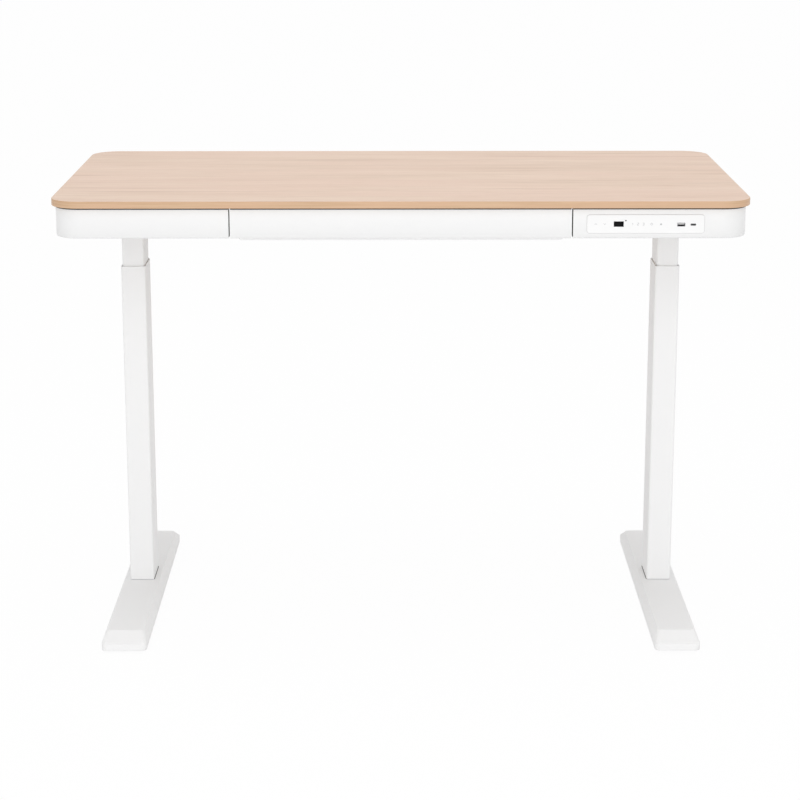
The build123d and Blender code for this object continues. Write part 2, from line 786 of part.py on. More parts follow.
with BuildPart() as drawer_tray:
    with BuildSketch(at(0, tray_middle, tray_floor)):
        RectangleRounded(2 * tray_half, tray_depth, tray_corner)
    extrude(amount=tray_height)
    chamfer(drawer_tray.edges().group_by(Axis.Z)[0], tray_wall)
    with BuildSketch(at(0, tray_middle, tray_floor + tray_wall)):
        RectangleRounded(2 * tray_half - 2 * tray_wall, tray_depth - 2 * tray_wall, tray_corner - tray_wall)
    extrude(amount=tray_height, mode=Mode.SUBTRACT)
save(drawer_tray, "drawer_tray")


# Channel section on its side: a web on the plane's origin, with lips that reach toward the other wall
def channel_section(plane, toward, height, reach, sheet):
    with BuildSketch(plane) as section:
        with Locations((toward * sheet / 2, 0)):
            Rectangle(sheet, height)
        with Locations((toward * reach / 2, (sheet - height) / 2), (toward * reach / 2, (height - sheet) / 2)):
            Rectangle(reach, sheet)
    return section.sketch


# Brackets under the board carry the fixed slides, and the tray carries the moving ones
for side_name, side in sides:
    with BuildPart() as drawer_bracket:
        with BuildSketch(at(side * (bracket_inside + bracket_sheet / 2), slide_middle, slide_bottom)):
            Rectangle(bracket_sheet, slide_length)
        extrude(amount=board_under - slide_bottom)
        flange_length_y = slide_length - bracket_flange_setback
        flange_y = tray_back - flange_length_y / 2
        flange_x = side * (bracket_inside + (bracket_sheet + bracket_flange) / 2)
        with BuildSketch(at(flange_x, flange_y, board_under)):
            Rectangle(bracket_sheet + bracket_flange, flange_length_y)
        extrude(amount=-bracket_sheet)
    save(drawer_bracket, f"{side_name}_drawer_bracket")

fixed_reach = slide_thickness - slide_lip_short
runner_reach = slide_thickness - slide_runner_short
runner_height = slide_height - 2 * slide_sheet - 2 * slide_roller_gap
with BuildPart() as fixed_slides:
    for side_name, side in sides:
        plane = facing_front(side * bracket_inside, slide_front, slide_level)
        extrude(channel_section(plane, -side, slide_height, fixed_reach, slide_sheet), amount=-slide_length)
save(fixed_slides, "fixed_slides")

with BuildPart() as moving_slides:
    for side_name, side in sides:
        plane = facing_front(side * tray_half, slide_front, slide_level)
        extrude(channel_section(plane, side, runner_height, runner_reach, slide_sheet), amount=-slide_length)
save(moving_slides, "moving_slides")

# Roller cages between the slides, which move at half the drawer's speed
cage_front = slide_front + drawer_travel / 2 + cage_play
cage_level = slide_height / 2 - slide_sheet - slide_roller_gap / 2
cage_reach = fixed_reach - slide_sheet - cage_lip_short
cage_x = bracket_inside - slide_sheet - cage_web_gap
roller_radius = slide_roller_gap / 2 - roller_play
roller_x = cage_x - cage_reach + roller_length / 2
with BuildPart() as slide_cages:
    for side_name, side in sides:
        plane = facing_front(side * cage_x, cage_front, slide_level)
        cage_height = 2 * cage_level + cage_sheet
        extrude(channel_section(plane, -side, cage_height, cage_reach, cage_sheet), amount=-cage_length)
        roller_plane = facing_right(side * roller_x, cage_front + cage_length / 2, slide_level)
        with BuildSketch(roller_plane):
            with GridLocations(cage_length / cage_rollers, 2 * cage_level, cage_rollers, 2):
                RegularPolygon(roller_radius, small_facets)
        extrude(amount=roller_length / 2, both=True)
save(slide_cages, "slide_cages")

# Control panel: fascia in the apron, display, sockets, board and the housing behind
with BuildPart() as control_fascia:
    with BuildSketch(facing_front(fascia_x, apron_front, fascia_level)):
        RectangleRounded(fascia_width, fascia_height, fascia_corner)
    extrude(amount=fascia_proud)
    chamfer(control_fascia.edges().group_by(Axis.Y)[0], fascia_edge_break)
    with BuildSketch(facing_front(fascia_x, apron_front, fascia_level)):
        Rectangle(plug_width, plug_height)
        Rectangle(plug_width - 2 * housing_wall, plug_height - 2 * housing_wall, mode=Mode.SUBTRACT)
    extrude(amount=-fascia_plug_depth)
    with BuildSketch(facing_front(fascia_x, apron_front, fascia_level)):
        with Locations((display_offset, 0)):
            Rectangle(display_width, display_height)
        with Locations((usb_a_offset, -usb_drop)):
            Rectangle(usb_a_width + 2 * panel_play, usb_a_height + 2 * panel_play)
        with Locations((usb_c_offset, -usb_drop)):
            SlotOverall(usb_c_width + 2 * panel_play, usb_c_height + 2 * panel_play)
    extrude(amount=fascia_proud, mode=Mode.SUBTRACT)
save(control_fascia, "control_fascia")

board_front = socket_rear + socket_back
with BuildPart() as display_module:
    with BuildSketch(facing_front(display_x, board_front, fascia_level)):
        Rectangle(display_width - 2 * thread_play, display_height - 2 * thread_play)
    extrude(amount=board_front - fascia_face - running_fit)
save(display_module, "display_module")

with BuildPart() as usb_a_socket:
    with BuildSketch(facing_front(usb_a_x, socket_rear, usb_level)):
        Rectangle(usb_a_width, usb_a_height)
        Rectangle(usb_a_width - 2 * usb_shell, usb_a_height - 2 * usb_shell, mode=Mode.SUBTRACT)
    extrude(amount=usb_depth - running_fit)
    with BuildSketch(facing_front(usb_a_x, socket_rear, usb_level)):
        Rectangle(usb_a_width, usb_a_height)
    extrude(amount=-socket_back)
    with BuildSketch(facing_front(usb_a_x, socket_rear, usb_level)):
        with Locations((0, usb_a_tongue / 2)):
            Rectangle(usb_a_width - 2 * usb_a_tongue_margin, usb_a_tongue)
    extrude(amount=usb_depth - usb_tongue_short)
save(usb_a_socket, "usb_a_socket")

with BuildPart() as usb_c_socket:
    with BuildSketch(facing_front(usb_c_x, socket_rear, usb_level)):
        SlotOverall(usb_c_width, usb_c_height)
        SlotOverall(usb_c_width - 2 * usb_shell, usb_c_height - 2 * usb_shell, mode=Mode.SUBTRACT)
    extrude(amount=usb_depth - running_fit)
    with BuildSketch(facing_front(usb_c_x, socket_rear, usb_level)):
        SlotOverall(usb_c_width, usb_c_height)
    extrude(amount=-socket_back)
    with BuildSketch(facing_front(usb_c_x, socket_rear, usb_level)):
        Rectangle(usb_c_width - 2 * usb_c_tongue_margin, usb_c_tongue)
    extrude(amount=usb_depth - usb_tongue_short)
save(usb_c_socket, "usb_c_socket")

with BuildPart() as control_board:
    with BuildSketch(facing_front(fascia_x, board_front, fascia_level)):
        Rectangle(plug_width - 2 * housing_wall, plug_height - 2 * housing_wall)
    extrude(amount=-board_thickness)
save(control_board, "control_board")

housing_back = apron_front + apron_wall + housing_depth
housing_floor = housing_back - housing_wall
with BuildPart() as control_housing:
    with BuildSketch(facing_front(fascia_x, housing_back, fascia_level)):
        Rectangle(fascia_width, fascia_height)
    extrude(amount=housing_depth)
    with BuildSketch(facing_front(fascia_x, housing_floor, fascia_level)):
        Rectangle(fascia_width - 2 * housing_wall, fascia_height - 2 * housing_wall)
    extrude(amount=housing_depth - housing_wall, mode=Mode.SUBTRACT)
    with BuildSketch(facing_front(fascia_x, housing_floor, fascia_level)):
        with GridLocations(plug_width - 2 * housing_post_inset, plug_height - 2 * housing_post_inset, 2, 2):
            Rectangle(housing_post, housing_post)
    extrude(amount=housing_floor - board_front - board_thickness)
save(control_housing, "control_housing")

# Control box under the board, closed below by a ribbed lid
box_bottom = board_under - control_box_height
with BuildPart() as control_box:
    with BuildSketch(at(control_box_x, control_box_y, box_bottom)):
        RectangleRounded(control_box_width, control_box_depth, control_box_corner)
    extrude(amount=control_box_height)
    with BuildSketch(at(control_box_x, control_box_y, board_under)):
        with Locations((0, control_box_depth / 4), (0, -control_box_depth / 4)):
            Rectangle(control_box_width + 2 * control_box_ear, 2 * control_box_ear)
    extrude(amount=-control_box_wall)
    with BuildSketch(at(control_box_x, control_box_y, box_bottom)):
        Rectangle(control_box_width - 2 * control_box_wall, control_box_depth - 2 * control_box_wall)
    extrude(amount=control_box_height - control_box_wall, mode=Mode.SUBTRACT)
save(control_box, "control_box")

with BuildPart() as control_box_lid:
    with BuildSketch(at(control_box_x, control_box_y, box_bottom)):
        RectangleRounded(control_box_width, control_box_depth, control_box_corner)
    extrude(amount=-control_box_wall)
    with BuildSketch(at(control_box_x, control_box_y, box_bottom - control_box_wall)):
        with GridLocations(control_box_width / (control_box_ribs + 1), 0, control_box_ribs, 1):
            Rectangle(control_box_rib_width, control_box_depth - 2 * control_box_rib_margin)
    extrude(amount=-control_box_rib_height)
save(control_box_lid, "control_box_lid")

# Mains inlet in the rear apron, with three blades
inlet_plane = facing_front(inlet_x, apron_rear, fascia_level)
cavity_back = inlet_cavity_depth - inlet_plate_thickness
with BuildPart() as mains_inlet:
    with BuildSketch(inlet_plane):
        RectangleRounded(inlet_plate_width, inlet_plate_height, inlet_plate_corner)
    extrude(amount=-inlet_plate_thickness)
    with BuildSketch(inlet_plane):
        Rectangle(inlet_body_width, inlet_body_height)
    extrude(amount=inlet_body_depth)
    with BuildSketch(inlet_plane.offset(-inlet_plate_thickness)):
        Rectangle(inlet_body_width - 2 * inlet_wall, inlet_body_height - 2 * inlet_wall)
    extrude(amount=inlet_cavity_depth, mode=Mode.SUBTRACT)
save(mains_inlet, "mains_inlet")

with BuildPart() as inlet_pins:
    with BuildSketch(inlet_plane.offset(cavity_back)):
        with Locations((-inlet_pin_spacing / 2, 0), (inlet_pin_spacing / 2, 0), (0, inlet_pin_offset)):
            Rectangle(inlet_pin_thickness, inlet_pin_width)
    extrude(amount=-inlet_pin_length)
save(inlet_pins, "inlet_pins")

# Column bolts, hexagon heads below the flange
with BuildPart() as column_bolts:
    for side_name, side in sides:
        with BuildSketch(at(leg_x(side), leg_back, flange_bottom)):
            with GridLocations(column_bolt_x, column_bolt_y, 2, 2):
                RegularPolygon(bolt_shank, small_facets)
        extrude(amount=flange_thickness + channel_web + bolt_tail)
        with BuildSketch(at(leg_x(side), leg_back, flange_bottom)):
            with GridLocations(column_bolt_x, column_bolt_y, 2, 2):
                RegularPolygon(bolt_head, 6)
        extrude(amount=-bolt_head_height)
save(column_bolts, "column_bolts")
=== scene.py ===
import math

import bmesh
import bpy
from mathutils import Matrix, Vector


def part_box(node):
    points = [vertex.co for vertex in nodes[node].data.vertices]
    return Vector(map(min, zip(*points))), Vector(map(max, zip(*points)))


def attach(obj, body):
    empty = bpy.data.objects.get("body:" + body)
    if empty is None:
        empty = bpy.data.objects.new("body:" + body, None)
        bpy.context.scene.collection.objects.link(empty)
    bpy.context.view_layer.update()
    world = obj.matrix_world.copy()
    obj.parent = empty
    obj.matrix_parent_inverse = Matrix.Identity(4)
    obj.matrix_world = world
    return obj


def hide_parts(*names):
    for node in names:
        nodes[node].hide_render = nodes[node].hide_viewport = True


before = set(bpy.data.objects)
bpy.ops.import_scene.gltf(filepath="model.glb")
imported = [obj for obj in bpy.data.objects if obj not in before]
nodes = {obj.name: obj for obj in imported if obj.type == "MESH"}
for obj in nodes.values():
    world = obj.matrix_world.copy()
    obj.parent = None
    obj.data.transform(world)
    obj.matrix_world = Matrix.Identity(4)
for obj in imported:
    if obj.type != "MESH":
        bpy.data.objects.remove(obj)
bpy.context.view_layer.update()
scene = bpy.context.scene
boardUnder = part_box("desktop")[0][2]
print("frame loaded:", len(nodes), "nodes")


def middleOf(box, axis):
    return (box[0][axis] + box[1][axis]) / 2


class Wire:
    # a socket of a material's tree: sums, products and tests of wires add Math nodes
    def __init__(self, tree, socket=None):
        self.tree = tree
        self.socket = socket

    # adds any node: its type, its settings, its inputs' values or wires, and which output to go on with
    def add(self, kind, settings=None, inputs=None, output=0):
        node = self.tree.nodes.new(kind)
        for key, value in (settings or {}).items():
            if key == "stops":
                ramp = node.color_ramp.elements
                for i, (share, tone) in enumerate(value):
                    stop = ramp[i] if i < 2 else ramp.new(share)
                    stop.position = share
                    stop.color = (*tone, 1)
            else:
                setattr(node, key, value)
        for key, value in (inputs or {}).items():
            if isinstance(value, Wire):
                self.tree.links.new(value.socket, node.inputs[key])
            else:
                node.inputs[key].default_value = value
        return Wire(self.tree, node.outputs[output])

    def math(self, operation, first, second):
        return self.add("ShaderNodeMath", {"operation": operation}, {0: first, 1: second})

    def __add__(self, other):
        return self.math("ADD", self, other)

    def __sub__(self, other):
        return self.math("SUBTRACT", self, other)

    def __rsub__(self, other):
        return self.math("SUBTRACT", other, self)

    def __mul__(self, other):
        return self.math("MULTIPLY", self, other)

    def __lt__(self, other):
        return self.math("LESS_THAN", self, other)

    def __gt__(self, other):
        return self.math("GREATER_THAN", self, other)

    def place(self, *scale):
        spot = self.add("ShaderNodeTexCoord", output="Object")
        return self.add("ShaderNodeMapping", None, {"Vector": spot, "Scale": scale})

    def axes(self):
        spot = self.add("ShaderNodeTexCoord", output="Object")
        split = self.add("ShaderNodeSeparateXYZ", None, {0: spot})
        return [Wire(self.tree, socket) for socket in split.socket.node.outputs]

    # noise of so many waves per metre, one number for every way or one for each axis
    def noise(self, scale, detail=3.0, rough=0.5):
        stretch, size = (scale, 1.0) if isinstance(scale, tuple) else ((1, 1, 1), scale)
        values = {"Vector": self.place(*stretch), "Scale": size, "Detail": detail, "Roughness": rough}
        return self.add("ShaderNodeTexNoise", None, values)

    def ramp(self, *stops):
        return self.add("ShaderNodeValToRGB", {"stops": stops}, {0: self})

    def between(self, low, high, start=0.0, end=1.0):
        values = {0: self, 1: low, 2: high, 3: start, 4: end}
        return self.add("ShaderNodeMapRange", None, values)

    def tint(self, first, second):
        tones = [tone if isinstance(tone, Wire) else (*tone, 1) for tone in (first, second)]
        return self.add("ShaderNodeMix", {"data_type": "RGBA"}, {0: self, 6: tones[0], 7: tones[1]}, 2)

    def bump(self, strength, distance):
        values = {"Strength": strength, "Distance": distance, "Height": self}
        return self.add("ShaderNodeBump", None, values)


# a material with one principled shader: fill gives the varying inputs, plain holds the constant ones
def finish(name, fill, plain):
    look = bpy.data.materials.new(name)
    look.use_nodes = True
    shader = look.node_tree.nodes["Principled BSDF"]
    for key, value in plain.items():
        shader.inputs[key].default_value = value
    for key, value in fill(Wire(look.node_tree)).items():
        look.node_tree.links.new(value.socket, shader.inputs[key])
    return look


def scaled(tone, share):
    return tuple(share * part for part in tone)


midBand = (0.3, 0.7)  # where most of a noise's values lie

# oak laminate: its tones, each noise as waves along x, y and z, detail and roughness,
# the span of a noise that shows and how strongly it shows
oakTop = dict(
    light=(0.774, 0.602, 0.480), mid=(0.716, 0.540, 0.420), dark=(0.652, 0.472, 0.355),
    blush=(0.742, 0.536, 0.428), line=(0.560, 0.385, 0.285), pore=(0.520, 0.355, 0.250),
    patchNoise=((2.2, 8, 8), 2, 0.5), broadNoise=((2.6, 21, 21), 3, 0.5),
    streakNoise=((8, 135, 135), 6, 0.64), fineNoise=((18, 560, 560), 4, 0.6),
    lineNoise=((2.4, 75, 75), 3, 0.6), poreNoise=((22, 850, 850), 2, 0.5),
    patchSpan=(0.4, 0.6), fineSpan=(0.35, 0.7), lineSpan=(0.58, 0.70), poreSpan=(0.60, 0.72),
    broadShare=0.45, streakShare=0.55, blushShare=0.6, fineShare=0.2, lineShare=0.7, poreShare=0.4,
    stops=(0.37, 0.5, 0.63), rough=(0.42, 0.54), poreRough=0.1, fineRise=0.5, relief=0.25, depth=0.0001)


def oakFill(wire):
    patches = wire.noise(*oakTop["patchNoise"]).between(*oakTop["patchSpan"])
    broad = wire.noise(*oakTop["broadNoise"])
    streak = wire.noise(*oakTop["streakNoise"])
    fine = wire.noise(*oakTop["fineNoise"])
    lines = wire.noise(*oakTop["lineNoise"]).between(*oakTop["lineSpan"])
    pores = wire.noise(*oakTop["poreNoise"]).between(*oakTop["poreSpan"])
    grain = broad * oakTop["broadShare"] + streak * oakTop["streakShare"]
    tone = grain.ramp(*zip(oakTop["stops"], (oakTop["dark"], oakTop["mid"], oakTop["light"])))
    tone = (patches * oakTop["blushShare"]).tint(tone, oakTop["blush"])
    tone = (fine.between(*oakTop["fineSpan"]) * oakTop["fineShare"]).tint(tone, oakTop["light"])
    tone = (lines * oakTop["lineShare"]).tint(tone, oakTop["line"])
    tone = (pores * oakTop["poreShare"]).tint(tone, oakTop["pore"])
    return {
        "Base Color": tone,
        "Roughness": streak.between(*midBand, *oakTop["rough"]) + pores * oakTop["poreRough"],
        "Normal": (fine * oakTop["fineRise"] - pores).bump(oakTop["relief"], oakTop["depth"]),
    }


# printed edge band
oakEdge = dict(
    light=(0.688, 0.476, 0.303), dark=(0.556, 0.348, 0.198), blush=(0.668, 0.426, 0.270),
    patchNoise=((6, 6, 60), 2, 0.5), streakNoise=((9, 9, 700), 5, 0.6), fineNoise=((40, 40, 1500), 3, 0.6),
    patchSpan=(0.4, 0.6), blushShare=0.6, rough=(0.4, 0.5), relief=0.2, depth=0.00008)


def edgeFill(wire):
    patches = wire.noise(*oakEdge["patchNoise"]).between(*oakEdge["patchSpan"])
    streak = wire.noise(*oakEdge["streakNoise"])
    fine = wire.noise(*oakEdge["fineNoise"])
    tone = streak.between(*midBand).tint(oakEdge["dark"], oakEdge["light"])
    tone = (patches * oakEdge["blushShare"]).tint(tone, oakEdge["blush"])
    return {
        "Base Color": tone,
        "Roughness": fine.between(*midBand, *oakEdge["rough"]),
        "Normal": fine.bump(oakEdge["relief"], oakEdge["depth"]),
    }


# white coats: tone, roughness span, grain of the coat per metre and its depth
# a crown bows a panel about a level
coat = dict(cloudWaves=2.3, cloudSpan=(0.2, 0.8), shade=0.99, grainDetail=(2, 0.55), relief=0.3)


def paintFill(tone, rough, grain, depth, crown=None):
    def fill(wire):
        cloud = wire.noise(coat["cloudWaves"])
        height = wire.noise(grain, *coat["grainDetail"]) * (coat["relief"] * depth)
        if crown:
            off = wire.axes()[2] - crown["level"]
            height = height - off * off * crown["bow"]
        return {
            "Base Color": cloud.between(*coat["cloudSpan"]).tint(scaled(tone, coat["shade"]), tone),
            "Roughness": cloud.between(*midBand, *rough),
            "Normal": height.bump(1.0, 1.0),
        }
    return fill


# bare metals: brushed along one axis by a stretched noise, with dull patches
brushed = dict(
    lineDetail=(5, 0.65), dullNoise=(38, 4, 0.6), lineShare=0.6, dullShare=0.4, span=(0.32, 0.62),
    shade=0.72, roughShare=0.5, relief=0.35, depth=0.00004)


def metalFill(tone, rough, waves):
    def fill(wire):
        lines = wire.noise(waves, *brushed["lineDetail"])
        dull = wire.noise(*brushed["dullNoise"])
        mask = (lines * brushed["lineShare"] + dull * brushed["dullShare"]).between(*brushed["span"])
        worn = lines * brushed["roughShare"] + dull * brushed["roughShare"]
        return {
            "Base Color": mask.tint(scaled(tone, brushed["shade"]), tone),
            "Roughness": worn.between(*midBand, *rough),
            "Normal": lines.bump(brushed["relief"], brushed["depth"]),
        }
    return fill


# moulded plastics: spark-eroded grain, so many specks per metre and so deep
moulded = dict(
    speckDetail=(3, 0.6), cloudWaves=6.0, cloudShare=0.6, speckShare=0.4, span=(0.35, 0.65), shade=0.86,
    relief=0.4)


def plasticFill(tone, rough, grain, depth):
    def fill(wire):
        speck = wire.noise(grain, *moulded["speckDetail"])
        cloud = wire.noise(moulded["cloudWaves"])
        mask = (cloud * moulded["cloudShare"] + speck * moulded["speckShare"]).between(*moulded["span"])
        return {
            "Base Color": mask.tint(scaled(tone, moulded["shade"]), tone),
            "Roughness": speck.between(*midBand, *rough),
            "Normal": speck.bump(moulded["relief"], depth),
        }
    return fill


# circuit board: solder mask with paler tracks
circuit = dict(
    mask=(0.02, 0.12, 0.05), track=(0.07, 0.30, 0.13), patchNoise=(120, 2), patchSpan=(0.4, 0.6),
    trackScale=160.0, trackWidth=0.09, stagger=0.35, faint=0.4, rough=(0.45, 0.3), relief=0.4,
    depth=0.00006)


def boardFill(wire):
    faint = circuit["faint"]
    lanes = wire.add("ShaderNodeTexBrick", {"offset": circuit["stagger"]}, {
        "Vector": wire.place(1, 1, 1), "Scale": circuit["trackScale"], "Mortar Size": circuit["trackWidth"],
        "Color1": (0, 0, 0, 1), "Color2": (faint, faint, faint, 1), "Mortar": (1, 1, 1, 1)})
    tracks = wire.noise(*circuit["patchNoise"]).between(*circuit["patchSpan"]) * lanes
    return {
        "Base Color": tracks.tint(circuit["mask"], circuit["track"]),
        "Roughness": tracks.between(0, 1, *circuit["rough"]),
        "Normal": tracks.bump(circuit["relief"], circuit["depth"]),
    }


# USB sockets: plated steel rim and an opening painted near-black as its shade, with a plastic tongue
# between two levels
port = dict(
    shell=0.0003, tongueDepth=0.005, hollow=(0.012, 0.012, 0.013), rimDark=(0.40, 0.40, 0.42),
    rimLight=(0.58, 0.58, 0.60), rimWaves=900, rimSpan=(0.35, 0.65), rough=(0.25, 0.42))


def portFill(node, tongue, tongueTone):
    low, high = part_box(node)
    shell = port["shell"]
    middle = middleOf((low, high), 2)

    def fill(wire):
        x, y, z = wire.axes()
        # painted shade: the socket's opening inside the rim is near-black, as a recess in shade
        hollow = (x > low[0] + shell) * (x < high[0] - shell)
        hollow = hollow * (z > low[2] + shell) * (z < high[2] - shell)
        blade = hollow * (z > middle + tongue[0]) * (z < middle + tongue[1])
        blade = blade * (y < low[1] + port["tongueDepth"])
        lines = wire.noise(port["rimWaves"])
        rim = lines.between(*port["rimSpan"]).tint(port["rimDark"], port["rimLight"])
        return {
            "Base Color": blade.tint(hollow.tint(rim, port["hollow"]), tongueTone),
            "Metallic": 1 - hollow,
            "Roughness": lines.between(*midBand, *port["rough"]),
        }
    return fill


# dark glass of the display, with a faint haze
glass = dict(
    dark=(0.0035, 0.0035, 0.0040), pale=(0.0060, 0.0060, 0.0070), hazeWaves=160, rough=(0.05, 0.10))


def glassFill(wire):
    haze = wire.noise(glass["hazeWaves"])
    return {
        "Base Color": haze.between(*midBand).tint(glass["dark"], glass["pale"]),
        "Roughness": haze.between(*midBand, *glass["rough"]),
    }


# printed ink
ink = dict(speckNoise=(2600, 2), pale=1.12, rough=(0.4, 0.55))


def printFill(tone):
    def fill(wire):
        speck = wire.noise(*ink["speckNoise"])
        return {
            "Base Color": speck.between(*midBand).tint(tone, scaled(tone, ink["pale"])),
            "Roughness": speck.between(*midBand, *ink["rough"]),
        }
    return fill


apronWhite = (0.875, 0.875, 0.875)
legWhite = (0.91, 0.91, 0.91)
crownDrop = 0.018  # from the board's underside to the level that the aprons bow about
panelCrown = dict(level=boardUnder - crownDrop, bow=5.5)
metal = {"Metallic": 1.0}


def sheen(level):
    return {"Specular IOR Level": level}


# each finish: what varies, then its constant inputs
finishes = {
    "oakTop": (oakFill, {}),
    "oakEdge": (edgeFill, {}),
    "apronCoat": (paintFill(apronWhite, (0.28, 0.31), 420, 0.00003, panelCrown), sheen(0.35)),
    "legCoat": (paintFill(legWhite, (0.44, 0.53), 900, 0.00004), sheen(0.25)),
    "frameCoat": (paintFill((0.86, 0.86, 0.855), (0.42, 0.52), 1500, 0.00008), {}),
    "trayCoat": (paintFill((0.87, 0.87, 0.865), (0.36, 0.45), 1300, 0.00006), {}),
    "zincSheet": (metalFill((0.66, 0.67, 0.70), (0.30, 0.44), (30, 900, 900)), metal),
    "groundSteel": (metalFill((0.50, 0.50, 0.52), (0.22, 0.36), (700, 700, 40)), metal),
    "shaftSteel": (metalFill((0.42, 0.42, 0.43), (0.26, 0.40), (14, 700, 700)), metal),
    "castAlloy": (plasticFill((0.62, 0.62, 0.64), (0.40, 0.56), 700, 0.00012), {"Metallic": 0.9}),
    "motorCoat": (plasticFill((0.035, 0.035, 0.038), (0.38, 0.50), 900, 0.00008), {}),
    "glideNylon": (plasticFill((0.80, 0.79, 0.74), (0.45, 0.60), 600, 0.00006), {}),
    "padRubber": (plasticFill((0.62, 0.62, 0.62), (0.55, 0.70), 1100, 0.0001), {}),
    "fasciaGloss": (paintFill((0.88, 0.88, 0.88), (0.20, 0.23), 260, 0.00001), sheen(0.35)),
    "displayGlass": (glassFill, sheen(0.03)),
    "housingGrain": (plasticFill((0.78, 0.78, 0.775), (0.5, 0.64), 1200, 0.0001), {}),
    "inletBlack": (plasticFill((0.022, 0.022, 0.023), (0.42, 0.55), 1100, 0.00008), {}),
    "pinPlate": (metalFill((0.72, 0.70, 0.66), (0.2, 0.32), (900, 40, 900)), metal),
    "boardGreen": (boardFill, {}),
    "portA": (portFill("usb_a_socket", (-0.00005, 0.00195), (0.72, 0.72, 0.72)), {}),
    "portC": (portFill("usb_c_socket", (-0.00045, 0.00045), (0.04, 0.04, 0.04)), {}),
    "iconGrey": (printFill((0.46, 0.46, 0.47)), {}),
    "segmentGrey": (printFill((0.008, 0.008, 0.009)), sheen(0.03)),
    "lampBlack": (printFill((0.02, 0.02, 0.022)), sheen(0.2)),
    # painted shade: near-black finish of the strips that stand in for the shadow gaps under the board and
    # at the column bases
    "shadeStripBlack": (plasticFill((0.018, 0.017, 0.016), (0.75, 0.9), 1800, 0.0002), {}),
    # painted shade: dark grey of the strips that stand in for the shadow in the drawer front's seams
    "seamShadeGrey": (plasticFill((0.060, 0.060, 0.060), (0.75, 0.9), 1800, 0.0002), {}),
    # painted shadow: grey of the fine line round the control panel
    "shadeLineGrey": (plasticFill((0.66, 0.66, 0.66), (0.6, 0.75), 1800, 0.0001), {}),
    "screwZinc": (metalFill((0.70, 0.70, 0.72), (0.22, 0.36), (500, 500, 500)), metal),
}
looks = {name: finish(name, fill, plain) for name, (fill, plain) in finishes.items()}
print("finishes made:", len(looks))

wears = {
    "oakTop": ["desktop"],
    "oakEdge": ["edge_band"],
    "apronCoat": ["left_front_apron", "right_front_apron", "left_side_apron", "right_side_apron",
                  "rear_apron", "drawer_front"],
    "legCoat": ["left_foot", "right_foot", "left_outer_tube", "right_outer_tube", "left_inner_tube",
                "right_inner_tube"],
    "frameCoat": ["left_leg_channel", "right_leg_channel", "front_cross_beam", "rear_cross_beam",
                  "left_drawer_bracket", "right_drawer_bracket"],
    "trayCoat": ["drawer_tray"],
    "zincSheet": ["base_plates", "fixed_slides", "moving_slides", "slide_cages", "column_bolts"],
    "groundSteel": ["push_tubes", "screw_bearings", "left_screw_gear", "right_screw_gear",
                    "left_lead_screw", "right_lead_screw"],
    "shaftSteel": ["cross_shaft", "shaft_gears", "drive_sleeve"],
    "castAlloy": ["left_gear_case", "right_gear_case", "gear_covers", "motor_gear_case"],
    "motorCoat": ["motor_can"],
    "glideNylon": ["drive_nuts", "upper_glides", "lower_glides"],
    "padRubber": ["left_front_leveller", "left_rear_leveller", "right_front_leveller",
                  "right_rear_leveller"],
    "fasciaGloss": ["control_fascia"],
    "displayGlass": ["display_module"],
    "housingGrain": ["control_housing", "control_box", "control_box_lid"],
    "inletBlack": ["mains_inlet"],
    "pinPlate": ["inlet_pins"],
    "boardGreen": ["control_board"],
    "portA": ["usb_a_socket"],
    "portC": ["usb_c_socket"],
}
for lookName, members in wears.items():
    for member in members:
        nodes[member].data.materials.clear()
        nodes[member].data.materials.append(looks[lookName])
print("nodes dressed:", sum(len(members) for members in wears.values()))


def addPiece(name, mesh, lookName, body):
    made = bpy.data.objects.new(name, mesh)
    scene.collection.objects.link(made)
    mesh.materials.append(looks[lookName])
    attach(made, body)
    return made


# joins what a bmesh holds into one smooth-shaded mesh whose creases stay sharp
def closeMesh(work, name, crease=0.6):
    bmesh.ops.remove_doubles(work, verts=work.verts, dist=1e-7)
    bmesh.ops.recalc_face_normals(work, faces=work.faces)
    for face in work.faces:
        face.smooth = True
    for edge in work.edges:
        edge.smooth = len(edge.link_faces) == 2 and edge.calc_face_angle(0.0) < crease
    mesh = bpy.data.meshes.new(name)
    work.to_mesh(mesh)
    work.free()
    return mesh


# faces from each ring of points to the next, with the first and last ring closed or left open
def addSkin(work, rings, capped=True):
    for lower, upper in zip(rings, rings[1:]):
        for i in range(len(lower)):
            work.faces.new((lower[i - 1], lower[i], upper[i], upper[i - 1]))
    if capped:
        work.faces.new(rings[0])
        work.faces.new(rings[-1])


# turns rings of (reach at an angle, rise) about a line, closed at both ends
def addTurned(work, spot, way, rings, steps=24):
    turn = Vector((0, 0, 1)).rotation_difference(Vector(way)).to_matrix()
    loops = []
    for reach, rise in rings:
        loop = []
        for step in range(steps):
            angle = math.tau * step / steps
            out = reach(angle) if callable(reach) else reach
            point = Vector((out * math.cos(angle), out * math.sin(angle), rise))
            loop.append(work.verts.new(Vector(spot) + turn @ point))
        loops.append(loop)
    addSkin(work, loops)


def hexagon(flat):
    return lambda angle: flat / math.cos((angle + math.pi / 6) % (math.pi / 3) - math.pi / 6)


# button-head screw with a hexagon socket, standing on its seat
# the dome and the socket's tip are in shares of (radius, height)
screwForm = dict(
    dome=((1, 0), (1, 0.25), (0.94, 0.55), (0.80, 0.85), (0.62, 1)), socketFloor=0.35,
    socketTip=(0.35, 0.28))


def addScrew(work, spot, way, head, rise, socket):
    wall = hexagon(socket)
    tipWide, tipHigh = screwForm["socketTip"]
    rings = [(wide * head, high * rise) for wide, high in screwForm["dome"]]
    rings += [(wall, rise), (wall, screwForm["socketFloor"] * rise), (tipWide * socket, tipHigh * rise)]
    addTurned(work, spot, way, rings)


